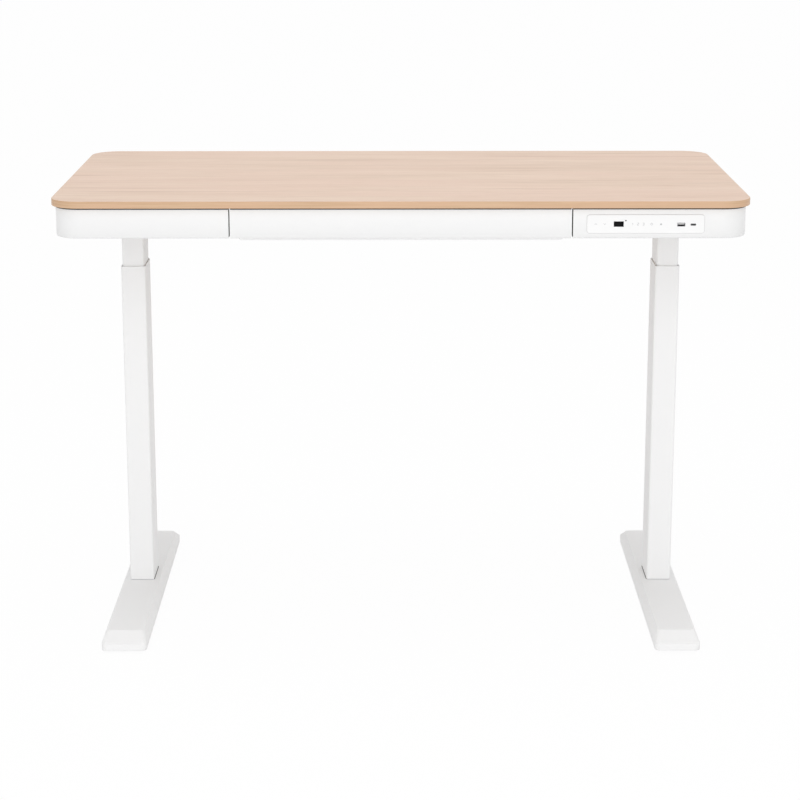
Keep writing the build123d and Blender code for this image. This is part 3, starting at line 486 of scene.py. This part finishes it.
# places that the fasteners and trims share
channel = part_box("right_leg_channel")
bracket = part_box("right_drawer_bracket")
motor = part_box("motor_gear_case")
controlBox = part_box("control_box")
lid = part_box("control_box_lid")
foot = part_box("right_foot")
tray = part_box("drawer_tray")
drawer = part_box("drawer_front")
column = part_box("right_outer_tube")
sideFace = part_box("right_side_apron")[1][0]
frontFace = drawer[0][1]
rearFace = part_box("rear_apron")[1][1]
apronGap = boardUnder - drawer[1][2]
sheet = dict(frame=0.002, tray=0.0015, lid=0.0012, foot=0.0025)
flangeUnder = boardUnder - sheet["frame"]
apronSeat = boardUnder - apronGap - sheet["frame"]
legX, legY = middleOf(column, 0), middleOf(column, 1)
motorX, boxY = middleOf(motor, 0), middleOf(controlBox, 1)
columnStep = 0.0025  # from the outer tube's face to the inner tube's


def inside(low, high, margin):
    return low + margin, high - margin


def around(middle, half):
    return middle - half, middle + half


def grid(xs, ys, z):
    return [(x, y, z) for x in xs for y in ys]


def leftRight(spots):
    return [(side * x, y, z) for side in (-1, 1) for x, y, z in spots]


# distances of the fasteners from edges and middles, and the rows that have places of their own
fixing = dict(
    channelEdge=0.009, channelRows=(-0.205, 0.11, 0.205),
    bracketEdge=0.012, bracketFront=0.03, bracketRow=-0.16, bracketRear=0.02,
    motorHalf=0.0255, boxEnd=0.006, boxHalf=0.021, lidEnd=0.008, lidSide=0.006,
    apronEdge=0.011, apronInner=0.3335, apronCorner=0.043, apronRows=(-0.21, 0.0, 0.21),
    rearEdge=0.013, rearOuter=0.5, footHalfX=0.012, footHalfY=0.028,
    trayColumns=(0.09, 0.22), trayRise=0.018, runnerRows=(-0.25, -0.16, -0.07), runnerRise=0.0195)

# sets that are on both sides are written for the right one
channelSpots = grid(
    inside(channel[0][0], channel[1][0], fixing["channelEdge"]), fixing["channelRows"], flangeUnder)
bracketRows = (
    bracket[0][1] + fixing["bracketFront"], fixing["bracketRow"], bracket[1][1] - fixing["bracketRear"])
bracketSpots = grid([bracket[1][0] - fixing["bracketEdge"]], bracketRows, flangeUnder)
motorSpots = grid(around(motorX, fixing["motorHalf"]), around(legY, fixing["motorHalf"]), flangeUnder)
boxSpots = grid(
    inside(controlBox[0][0], controlBox[1][0], fixing["boxEnd"]), around(boxY, fixing["boxHalf"]),
    flangeUnder)
lidSpots = grid(
    inside(lid[0][0], lid[1][0], fixing["lidEnd"]), inside(lid[0][1], lid[1][1], fixing["lidSide"]),
    lid[0][2] + sheet["lid"])
frontColumns = (fixing["apronInner"], sideFace - fixing["apronCorner"])
apronSpots = [
    *grid(frontColumns, [frontFace + fixing["apronEdge"]], apronSeat),
    *grid([sideFace - fixing["apronEdge"]], fixing["apronRows"], apronSeat),
    (fixing["rearOuter"], rearFace - fixing["rearEdge"], apronSeat)]
footSpots = grid(
    around(legX, fixing["footHalfX"]), around(legY, fixing["footHalfY"]), foot[1][2] - sheet["foot"])
traySpots = grid(fixing["trayColumns"], [tray[0][1] + sheet["tray"]], tray[0][2] + fixing["trayRise"])
runnerLeft, runnerRight = [
    grid([x], fixing["runnerRows"], tray[0][2] + fixing["runnerRise"])
    for x in inside(tray[0][0], tray[1][0], sheet["tray"])]

# body, the way the head points, its size and its places
# the size is head radius, head height and half the socket's width across flats
down = (0, 0, -1)
screwSets = {
    "channelScrews": ("top", down, (0.0044, 0.0027, 0.0018), leftRight(channelSpots)),
    "bracketScrews": ("top", down, (0.0040, 0.0025, 0.0016), leftRight(bracketSpots)),
    "motorScrews": ("top", down, (0.0040, 0.0025, 0.0016), motorSpots),
    "boxScrews": ("top", down, (0.0038, 0.0024, 0.0016), boxSpots),
    "lidScrews": ("top", down, (0.0030, 0.0018, 0.0013), lidSpots),
    "apronScrews": ("top", down, (0.0038, 0.0023, 0.0016), leftRight(apronSpots)),
    "footBolts": ("base", down, (0.0052, 0.0042, 0.0025), leftRight(footSpots)),
    "trayScrews": ("drawer", (0, 1, 0), (0.0036, 0.0020, 0.0015), leftRight(traySpots)),
    "runnerScrewsLeft": ("drawer", (1, 0, 0), (0.0034, 0.0018, 0.0014), runnerLeft),
    "runnerScrewsRight": ("drawer", (-1, 0, 0), (0.0034, 0.0018, 0.0014), runnerRight),
}
for name, (body, way, size, spots) in screwSets.items():
    work = bmesh.new()
    for spot in spots:
        addScrew(work, spot, way, *size)
    addPiece(name, closeMesh(work, name), "screwZinc", body)
print("screws set:", sum(len(group[-1]) for group in screwSets.values()))


# points round a rounded rectangle, each with its outward way
# it starts where the right side meets the rear corner
def roundedLoop(halfX, halfY, corner, perCorner, perSide):
    points = []
    for turn in range(4):
        signX, signY = ((1, 1), (-1, 1), (-1, -1), (1, -1))[turn]
        centre = Vector((signX * (halfX - corner), signY * (halfY - corner)))
        for step in range(perCorner + 1):
            angle = math.pi / 2 * (turn + step / perCorner)
            way = Vector((math.cos(angle), math.sin(angle)))
            points.append((centre + corner * way, way))
        along = Vector((-way.y, way.x)) * 2 * ((halfY if turn % 2 else halfX) - corner)
        for step in range(1, perSide):
            points.append((centre + corner * way + along * step / perSide, way))
    return points


# a section of (out, up) points, or one for each count, carried along a loop or an open run
# it lies flat or stands facing the front
def addSwept(work, loop, centre, section, standing=False, closed=True):
    rings = []
    for count, (point, way) in enumerate(loop):
        ring = []
        for out, up in section(count) if callable(section) else section:
            across, along = point.x + way.x * out, point.y + way.y * out
            spot = (across, -up, along) if standing else (across, along, up)
            ring.append(work.verts.new(Vector(centre) + Vector(spot)))
        rings.append(ring)
    if closed:
        addSkin(work, [rings[-1], *rings], capped=False)
    else:
        addSkin(work, rings)


# painted shade: a near-black strip in the shadow gap under the board, standing in for the gap's shadow
# its lip hangs over the upper edge of the aprons and of the drawer front, so the painted shadow line shows
# there
gapShadeStrip = dict(
    tuck=0.0040, lip=0.0013, stand=0.00012, thick=0.0006, bend=0.7, nose=0.8, play=0.0004, corner=0.043,
    endGap=0.0003, perCorner=16, perSide=24, drawerSteps=12)


# section of the painted-shade strip, with the lip that shows as a dark line below the board
def gapShadeSection(upper):
    tuck, stand, tip = gapShadeStrip["tuck"], gapShadeStrip["stand"], apronGap + gapShadeStrip["lip"]
    outer = stand + gapShadeStrip["thick"]
    nose = [(outer, -gapShadeStrip["bend"] * tip), (gapShadeStrip["nose"] * outer, -tip), (stand, -tip)]
    return [(-tuck, -upper), (outer, -upper), *nose, (stand, -apronGap), (-tuck, -apronGap)]


def addGapShadeStrips():
    perCorner, perSide = gapShadeStrip["perCorner"], gapShadeStrip["perSide"]
    loop = roundedLoop(sideFace, rearFace, gapShadeStrip["corner"], perCorner, perSide)
    frontCorner = 3 * (perCorner + perSide)
    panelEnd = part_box("right_front_apron")[0][0]
    front = Vector((0, -1))
    run = [(Vector((panelEnd, frontFace)), front), *loop[frontCorner:], *loop[:frontCorner - perSide + 1],
           (Vector((-panelEnd, frontFace)), front)]
    work = bmesh.new()
    addSwept(work, run, (0, 0, boardUnder), gapShadeSection(0), closed=False)
    addPiece("gapShadeStrip", closeMesh(work, "gapShadeStrip"), "shadeStripBlack", "top")

    drawerEnd = drawer[1][0] - gapShadeStrip["endGap"]
    steps = gapShadeStrip["drawerSteps"]
    run = [(Vector((drawerEnd * step / steps, frontFace)), front) for step in range(-steps, steps + 1)]
    work = bmesh.new()
    addSwept(work, run, (0, 0, boardUnder), gapShadeSection(gapShadeStrip["play"]), closed=False)
    addPiece("drawerShadeStrip", closeMesh(work, "drawerShadeStrip"), "shadeStripBlack", "drawer")


# weld beads where the flanges meet the inner tubes, with the bead's profile in shares of its leg
tubeWeld = dict(
    leg=0.0028, wave=0.00035, corner=0.004, waves=68, flange=0.0045, perCorner=8, perSide=40, crease=1.2,
    profile=((0, 0), (1, 0), (0.80, -0.40), (0.40, -0.80), (0, -1)))


def addTubeWelds():
    halfX = (column[1][0] - column[0][0]) / 2 - columnStep
    halfY = (column[1][1] - column[0][1]) / 2 - columnStep
    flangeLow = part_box("right_inner_tube")[1][2] - tubeWeld["flange"]
    loop = roundedLoop(halfX, halfY, tubeWeld["corner"], tubeWeld["perCorner"], tubeWeld["perSide"])

    def bead(count):
        ripple = math.sin(math.tau * tubeWeld["waves"] * count / len(loop))
        size = tubeWeld["leg"] + tubeWeld["wave"] * ripple
        return [(out * size, up * size) for out, up in tubeWeld["profile"]]

    work = bmesh.new()
    for side in (-1, 1):
        addSwept(work, loop, (side * legX, legY, flangeLow), bead)
    mesh = closeMesh(work, "tubeWelds", tubeWeld["crease"])
    addPiece("tubeWelds", mesh, "legCoat", "top")


# section of a painted-shade strip from its back out to an edge that is in shares of (width, rise)
def shadeStripSection(back, wide, rise, edge):
    return [(back, 0), *[(wide * out, rise * up) for out, up in edge], (back, rise)]


# painted shade: a near-black strip in the shadow gap between each column and its foot, on the inner side,
# standing in for the gap's shadow
footShadeStrip = dict(
    lip=0.0008, tuck=0.0012, fill=0.96, margin=0.004, steps=12, edge=((1, 0), (0.9, 0.4), (0.4, 1)))


def addFootShadeStrips():
    steps = footShadeStrip["steps"]
    rise = footShadeStrip["fill"] * (column[0][2] - foot[1][2])
    start, end = inside(column[0][1], column[1][1], footShadeStrip["margin"])
    rows = [start + (end - start) * step / steps for step in range(steps + 1)]
    section = shadeStripSection(-footShadeStrip["tuck"], footShadeStrip["lip"], rise, footShadeStrip["edge"])
    work = bmesh.new()
    for side in (-1, 1):
        run = [(Vector((side * column[0][0], y)), Vector((-side, 0))) for y in rows]
        addSwept(work, run, (0, 0, foot[1][2]), section, closed=False)
    addPiece("footShadeStrips", closeMesh(work, "footShadeStrips"), "shadeStripBlack", "base")


# painted shade: dark strips on the returns that the drawer front closes between, standing in for the shadow
# in the seams
# the profile is in shares of (depth, thickness)
seamShadeStrip = dict(
    thick=0.0009, setback=0.0008, depth=0.016, margin=0.0026, bulge=0.0002, steps=12, turn=5,
    profile=((0, 0), (0, 0.8), (0.15, 1), (0.85, 1), (1, 0.8), (1, 0)))


def addSeamShadeStrips():
    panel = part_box("left_front_apron")
    steps = seamShadeStrip["steps"]
    middle = (panel[0][2] + boardUnder - apronGap) / 2
    half = (boardUnder - apronGap - panel[0][2]) / 2 - seamShadeStrip["margin"]
    start = panel[0][1] + seamShadeStrip["setback"]
    work = bmesh.new()
    for side in (-1, 1):
        face = side * abs(panel[1][0])
        section = [(face - side * seamShadeStrip["thick"] * inward, start + seamShadeStrip["depth"] * back)
                   for back, inward in seamShadeStrip["profile"]]
        rings = []
        for step in range(steps + 1):
            rise = -1 + 2 * step / steps
            wave = seamShadeStrip["bulge"] * math.sin(seamShadeStrip["turn"] * step)
            rings.append([work.verts.new((x, y + wave, middle + half * rise)) for x, y in section])
        addSkin(work, rings)
    addPiece("seamShadeStrip", closeMesh(work, "seamShadeStrip"), "seamShadeGrey", "top")


# painted shadow: a grey strip that shows as a fine shadow line round the control panel
fasciaShadeLine = dict(
    width=0.00055, rise=0.00035, corner=0.005, play=0.00001, perCorner=8, perSide=20,
    edge=((1, 0), (0.85, 0.7), (0.5, 1)))
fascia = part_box("control_fascia")
panelMid = (middleOf(fascia, 0), fascia[0][1], middleOf(fascia, 2))


def addFasciaShadeLine():
    low, high = fascia
    halfX, halfZ = (high[0] - low[0]) / 2, (high[2] - low[2]) / 2
    loop = roundedLoop(halfX, halfZ, fasciaShadeLine["corner"], fasciaShadeLine["perCorner"], fasciaShadeLine["perSide"])
    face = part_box("right_front_apron")[0][1]
    section = shadeStripSection(*[fasciaShadeLine[key] for key in ("play", "width", "rise", "edge")])
    work = bmesh.new()
    addSwept(work, loop, (panelMid[0], face, panelMid[2]), section, standing=True)
    addPiece("fasciaShadeLine", closeMesh(work, "fasciaShadeLine"), "shadeLineGrey", "top")


# the gap strips, the column-base strips, the seam strips and the line round the panel are painted shade
addGapShadeStrips()
addTubeWelds()
addFootShadeStrips()
addSeamShadeStrips()
addFasciaShadeLine()
print("trims, seals and welds set")


# lead screws with two-start trapezoidal threads
# the left leg's is right-handed and the right leg's left-handed
screwThread = dict(
    lead=0.010, starts=2, depth=0.0014, crest=0.40, root=0.32, steps=18, end=0.006, nose=0.002,
    shoulder=0.0001, spare=2)


def addLeadScrew(node, piece, body, hand):
    low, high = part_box(node)
    lead, steps, starts = screwThread["lead"], screwThread["steps"], screwThread["starts"]
    crest, spare = screwThread["crest"], screwThread["spare"]
    outer = (high[0] - low[0]) / 2
    inner = outer - screwThread["depth"]
    middle = Vector((low[0] + outer, middleOf((low, high), 1), 0))
    levels = (low[2] + screwThread["nose"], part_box("screw_bearings")[0][2] - screwThread["shoulder"])
    flank = (1 - crest - screwThread["root"]) / 2
    profile = [(0.0, outer), (crest, outer), (crest + flank, inner), (1 - flank, inner)]
    ridges = math.ceil((levels[1] - levels[0]) / lead + 2 * spare) * starts

    def spot(reach, angle, z):
        return middle + Vector((reach * math.cos(angle), reach * math.sin(angle), z))

    # one column of points for each step round, each a little higher, or lower, than the one before
    work = bmesh.new()
    columns = []
    for step in range(steps):
        base = levels[0] - spare * lead + hand * lead * step / steps
        angle = math.tau * step / steps
        columns.append([work.verts.new(spot(reach, angle, base + lead / starts * (ridge + share)))
                        for ridge in range(ridges) for share, reach in profile])
    for step, first in enumerate(columns):
        second = columns[(step + 1) % steps]
        climb = hand * starts * len(profile) if step == steps - 1 else 0
        for i in range(max(0, -climb), len(first) - 1 - max(0, climb)):
            work.faces.new((first[i], first[i + 1], second[i + 1 + climb], second[i + climb]))

    # both ends are cut square, then closed by a nose below and a journal above
    ends = ((levels[0], -1, [low[2]]), (levels[1], 1, [levels[1], high[2]]))
    for level, way, rises in ends:
        cut = bmesh.ops.bisect_plane(work, geom=[*work.verts, *work.edges, *work.faces], dist=1e-8,
                                     plane_co=(0, 0, level), plane_no=(0, 0, way), clear_outer=True)
        rim = [item for item in cut["geom_cut"] if isinstance(item, bmesh.types.BMVert)]
        rim = [(math.atan2(vert.co.y - middle.y, vert.co.x - middle.x), vert) for vert in rim]
        rim.sort(key=lambda pair: pair[0])
        rings = [[vert for angle, vert in rim]]
        for rise in rises:
            rings.append([work.verts.new(spot(screwThread["end"], angle, rise)) for angle, vert in rim])
        addSkin(work, rings, capped=False)
        work.faces.new(rings[-1])
    made = addPiece(piece, closeMesh(work, piece), "groundSteel", body)
    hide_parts(node)


addLeadScrew("left_lead_screw", "leftScrewThread", "left_screw", 1)
addLeadScrew("right_lead_screw", "rightScrewThread", "right_screw", -1)
print("lead screws threaded")

# marks printed on the panel, as thin raised ink: outlines in (across, up) from the panel's middle
inkRise = 0.00004


def addInk(work, outline, across, rise=inkRise, face=panelMid):
    front = [work.verts.new((face[0] + across + x, face[1] - rise, face[2] + z)) for x, z in outline]
    back = [work.verts.new((face[0] + across + x, face[1] + rise, face[2] + z)) for x, z in outline]
    work.faces.new(front)
    work.faces.new(list(reversed(back)))
    for i in range(len(outline)):
        work.faces.new((front[i - 1], back[i - 1], back[i], front[i]))


def bar(x0, z0, x1, z1, thick):
    along = (Vector((x1, z1)) - Vector((x0, z0))).normalized()
    side = Vector((-along.y, along.x)) * thick / 2
    ends = [Vector((x0, z0)), Vector((x1, z1))]
    return [tuple(ends[0] + side), tuple(ends[0] - side), tuple(ends[1] - side), tuple(ends[1] + side)]


# a ring of ink, or a half ring
def addInkRing(work, radius, thick, across, up, rise, half=False):
    steps = 24
    angles = [math.tau * step / steps for step in range(steps // 2 + 1 if half else steps)]
    ways = [Vector((math.cos(angle), math.sin(angle))) for angle in angles]
    centre = (panelMid[0] + across, panelMid[1], panelMid[2] + up)
    section = [(-thick / 2, -rise), (thick / 2, -rise), (thick / 2, rise), (-thick / 2, rise)]
    addSwept(work, [(radius * way, way) for way in ways], centre, section, standing=True, closed=not half)


# size of the marks and how far across each is
# the three numerals recall stored heights
panelMarks = dict(
    size=0.0020, thick=0.0006, layer=0.02, up=-0.085, down=-0.070, one=-0.022, two=-0.013, three=-0.004,
    timer=0.010, lock=0.026)
# in shares of the marks' size, thickness and rise: a hand is its tip's place and its layer
timerMark = dict(ring=0.9, hands=((0, 0.55, 1.3), (0.45, 0, 1.4)), thick=0.8)
lockMark = dict(low=-0.9, high=0.1, width=1.6, bow=0.5, layer=1.2)
markStrokes = {
    "one": [(0.0, -1.0, 0.0, 1.0), (-0.45, 0.6, 0.0, 1.0)],
    "two": [(-0.6, 1.0, 0.6, 1.0), (0.6, 1.0, 0.6, 0.0), (0.6, 0.0, -0.6, 0.0), (-0.6, 0.0, -0.6, -1.0),
            (-0.6, -1.0, 0.6, -1.0)],
    "three": [(-0.6, 1.0, 0.6, 1.0), (0.6, 1.0, 0.6, -1.0), (0.6, 0.0, -0.35, 0.0),
              (0.6, -1.0, -0.6, -1.0)],
    "up": [(-1.0, -0.5, 0.0, 0.5), (1.0, -0.5, 0.0, 0.5)],
    "down": [(-1.0, 0.5, 0.0, -0.5), (1.0, 0.5, 0.0, -0.5)],
}


def addPanelMarks():
    size, thick, timer, lock = [panelMarks[key] for key in ("size", "thick", "timer", "lock")]
    strokes = [(mark, stroke) for mark, group in markStrokes.items() for stroke in group]
    work = bmesh.new()
    # strokes that cross differ a little in height
    for count, (mark, stroke) in enumerate(strokes, 1):
        outline = bar(*[size * part for part in stroke], thick)
        addInk(work, outline, panelMarks[mark], inkRise * (1 + panelMarks["layer"] * count))
    addInkRing(work, timerMark["ring"] * size, thick, timer, 0, inkRise)
    for x, z, layer in timerMark["hands"]:
        hand = bar(0, 0, x * size, z * size, timerMark["thick"] * thick)
        addInk(work, hand, timer, layer * inkRise)
    low, high, wide, bow = [lockMark[key] * size for key in ("low", "high", "width", "bow")]
    addInk(work, bar(0, low, 0, high, wide), lock)
    addInkRing(work, bow, thick, lock, high, lockMark["layer"] * inkRise, half=True)
    addPiece("panelMarks", closeMesh(work, "panelMarks"), "iconGrey", "top")


# dark lens of a lamp beside the display
panelLamp = dict(across=-0.034, up=0.006, radius=0.0012, top=0.0010, steps=20)


def addPanelLamp():
    spot = (panelMid[0] + panelLamp["across"], panelMid[1] - inkRise, panelMid[2] + panelLamp["up"])
    wide, top = panelLamp["radius"], panelLamp["top"]
    rings = [(wide, -inkRise), (wide, 0.5 * inkRise), (top, inkRise)]
    work = bmesh.new()
    addTurned(work, spot, (0, -1, 0), rings, panelLamp["steps"])
    addPiece("panelLamp", closeMesh(work, "panelLamp"), "lampBlack", "top")


# unlit figures on the display's dark glass
displayFigures = dict(
    width=0.0032, height=0.0058, thick=0.00055, gap=0.6, pitch=0.0050, slant=0.12, rise=0.00002)


def addDisplayFigures():
    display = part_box("display_module")
    face = (middleOf(display, 0), display[0][1], middleOf(display, 2))
    w, h, thick = displayFigures["width"] / 2, displayFigures["height"] / 2, displayFigures["thick"]
    gap = displayFigures["gap"] * thick
    segments = [(-w + gap, h, w - gap, h), (-w + gap, 0, w - gap, 0), (-w + gap, -h, w - gap, -h),
                (-w, gap, -w, h - gap), (w, gap, w, h - gap), (-w, gap - h, -w, -gap),
                (w, gap - h, w, -gap)]
    work = bmesh.new()
    for figure in (-1, 0, 1):
        for segment in segments:
            outline = [(x + displayFigures["slant"] * z, z) for x, z in bar(*segment, thick)]
            addInk(work, outline, figure * displayFigures["pitch"], displayFigures["rise"], face)
    addPiece("displayFigures", closeMesh(work, "displayFigures"), "segmentGrey", "top")


addPanelMarks()
addPanelLamp()
addDisplayFigures()
print("panel marked")

# rounded edges on the CAD pieces that are folded or cast: width and how many steps
softEdges = {
    "left_foot": (0.0022, 3), "right_foot": (0.0022, 3),
    "left_leg_channel": (0.0006, 2), "right_leg_channel": (0.0006, 2),
    "front_cross_beam": (0.0005, 2), "rear_cross_beam": (0.0005, 2),
    "motor_gear_case": (0.0014, 3), "motor_can": (0.0012, 3),
    "control_box": (0.0010, 2), "control_box_lid": (0.0005, 2),
    "left_gear_case": (0.0008, 2), "right_gear_case": (0.0008, 2),
}
weldReach = 0.000002
sharpAngle = math.radians(32)
for member, (width, steps) in softEdges.items():
    weld = nodes[member].modifiers.new("weld", "WELD")
    weld.merge_threshold = weldReach
    soft = nodes[member].modifiers.new("softEdge", "BEVEL")
    soft.width = width
    soft.segments = steps
    soft.limit_method = "ANGLE"
    soft.angle_limit = sharpAngle
    soft.harden_normals = True
print("edges softened:", len(softEdges))

# stage: a pale floor that the camera sees as white apart from a faint shadow, clear from below
stageSet = dict(
    floorSize=90.0, floorDrop=0.0006, tone=(0.97, 0.97, 0.97), rough=0.9, whiteShare=0.96, ambient=0.75)


# 1 for what the camera sees straight, in a gloss or through glass
def seenRay(wire):
    kinds = ("Camera", "Glossy", "Transmission")
    rays = [wire.add("ShaderNodeLightPath", output=f"Is {kind} Ray") for kind in kinds]
    return wire.math("MINIMUM", rays[0] + rays[1] + rays[2], 1.0)


def addFloor():
    mesh = bpy.data.meshes.new("floor")
    half = stageSet["floorSize"] / 2
    corners = ((-1, -1), (1, -1), (1, 1), (-1, 1))
    points = [(x * half, y * half, -stageSet["floorDrop"]) for x, y in corners]
    mesh.from_pydata(points, [], [(0, 1, 2, 3)])
    floor = bpy.data.objects.new("floor", mesh)
    scene.collection.objects.link(floor)
    look = bpy.data.materials.new("floorPaper")
    look.use_nodes = True
    wire = Wire(look.node_tree)
    shader = look.node_tree.nodes["Principled BSDF"]
    shader.inputs["Base Color"].default_value = (*stageSet["tone"], 1)
    shader.inputs["Roughness"].default_value = stageSet["rough"]
    paper = Wire(look.node_tree, shader.outputs[0])
    glow = wire.add("ShaderNodeEmission", None, {"Color": (1, 1, 1, 1), "Strength": 1.0})
    share = seenRay(wire) * stageSet["whiteShare"]
    mixed = wire.add("ShaderNodeMixShader", None, {0: share, 1: paper, 2: glow})
    under = wire.add("ShaderNodeNewGeometry", output="Backfacing")
    clear = wire.add("ShaderNodeBsdfTransparent")
    mixed = wire.add("ShaderNodeMixShader", None, {0: under, 1: mixed, 2: clear})
    look.node_tree.links.new(mixed.socket, look.node_tree.nodes["Material Output"].inputs["Surface"])
    mesh.materials.append(look)


def addWorld():
    world = bpy.data.worlds.new("studio")
    scene.world = world
    world.use_nodes = True
    wire = Wire(world.node_tree)
    strength = seenRay(wire) * (1 - stageSet["ambient"]) + stageSet["ambient"]
    world.node_tree.links.new(strength.socket, world.node_tree.nodes["Background"].inputs["Strength"])
    world.node_tree.nodes["Background"].inputs["Color"].default_value = (1, 1, 1, 1)


# soft boxes: place, what they face, size and power
softBoxes = {
    "frontBox": dict(at=(0.15, -3.6, 2.4), faces=(0, 0, 0.6), size=(3.2, 2.0), power=20),
    "lowBox": dict(at=(0.0, -3.2, 0.45), faces=(0, 0, 0.2), size=(2.6, 0.7), power=11),
    "topBox": dict(at=(0.0, -0.2, 3.3), faces=(0, 0.0, 0.7), size=(2.6, 1.8), power=18),
}


def addLights():
    for name, box in softBoxes.items():
        lamp = bpy.data.lights.new(name, "AREA")
        lamp.shape = "RECTANGLE"
        lamp.size, lamp.size_y = box["size"]
        lamp.energy = box["power"]
        holder = bpy.data.objects.new(name, lamp)
        holder.location = box["at"]
        way = Vector(box["faces"]) - Vector(box["at"])
        holder.rotation_euler = way.to_track_quat("-Z", "Y").to_euler()
        scene.collection.objects.link(holder)


# camera: where it stands, how far it is tipped down, and its lens and sensor in millimetres
shot = dict(
    at=(-0.0115, -3.831, 1.406), tip=0.2309, roll=-0.00075, lens=94.876, sensor=36.0, shiftX=0.00735,
    shiftY=-0.0792, far=200.0)


def addCamera():
    lens = bpy.data.cameras.new("shot")
    lens.sensor_width = shot["sensor"]
    lens.sensor_fit = "HORIZONTAL"
    lens.lens = shot["lens"]
    lens.shift_x = shot["shiftX"]
    lens.shift_y = shot["shiftY"]
    lens.clip_end = shot["far"]
    holder = bpy.data.objects.new("shot", lens)
    holder.location = shot["at"]
    turn = Matrix.Rotation(math.pi / 2 - shot["tip"], 3, "X") @ Matrix.Rotation(shot["roll"], 3, "Z")
    holder.rotation_euler = turn.to_euler()
    scene.collection.objects.link(holder)
    scene.camera = holder


scene.view_settings.view_transform = "Standard"
addFloor()
addWorld()
addLights()
addCamera()
print("stage, lights and camera set")
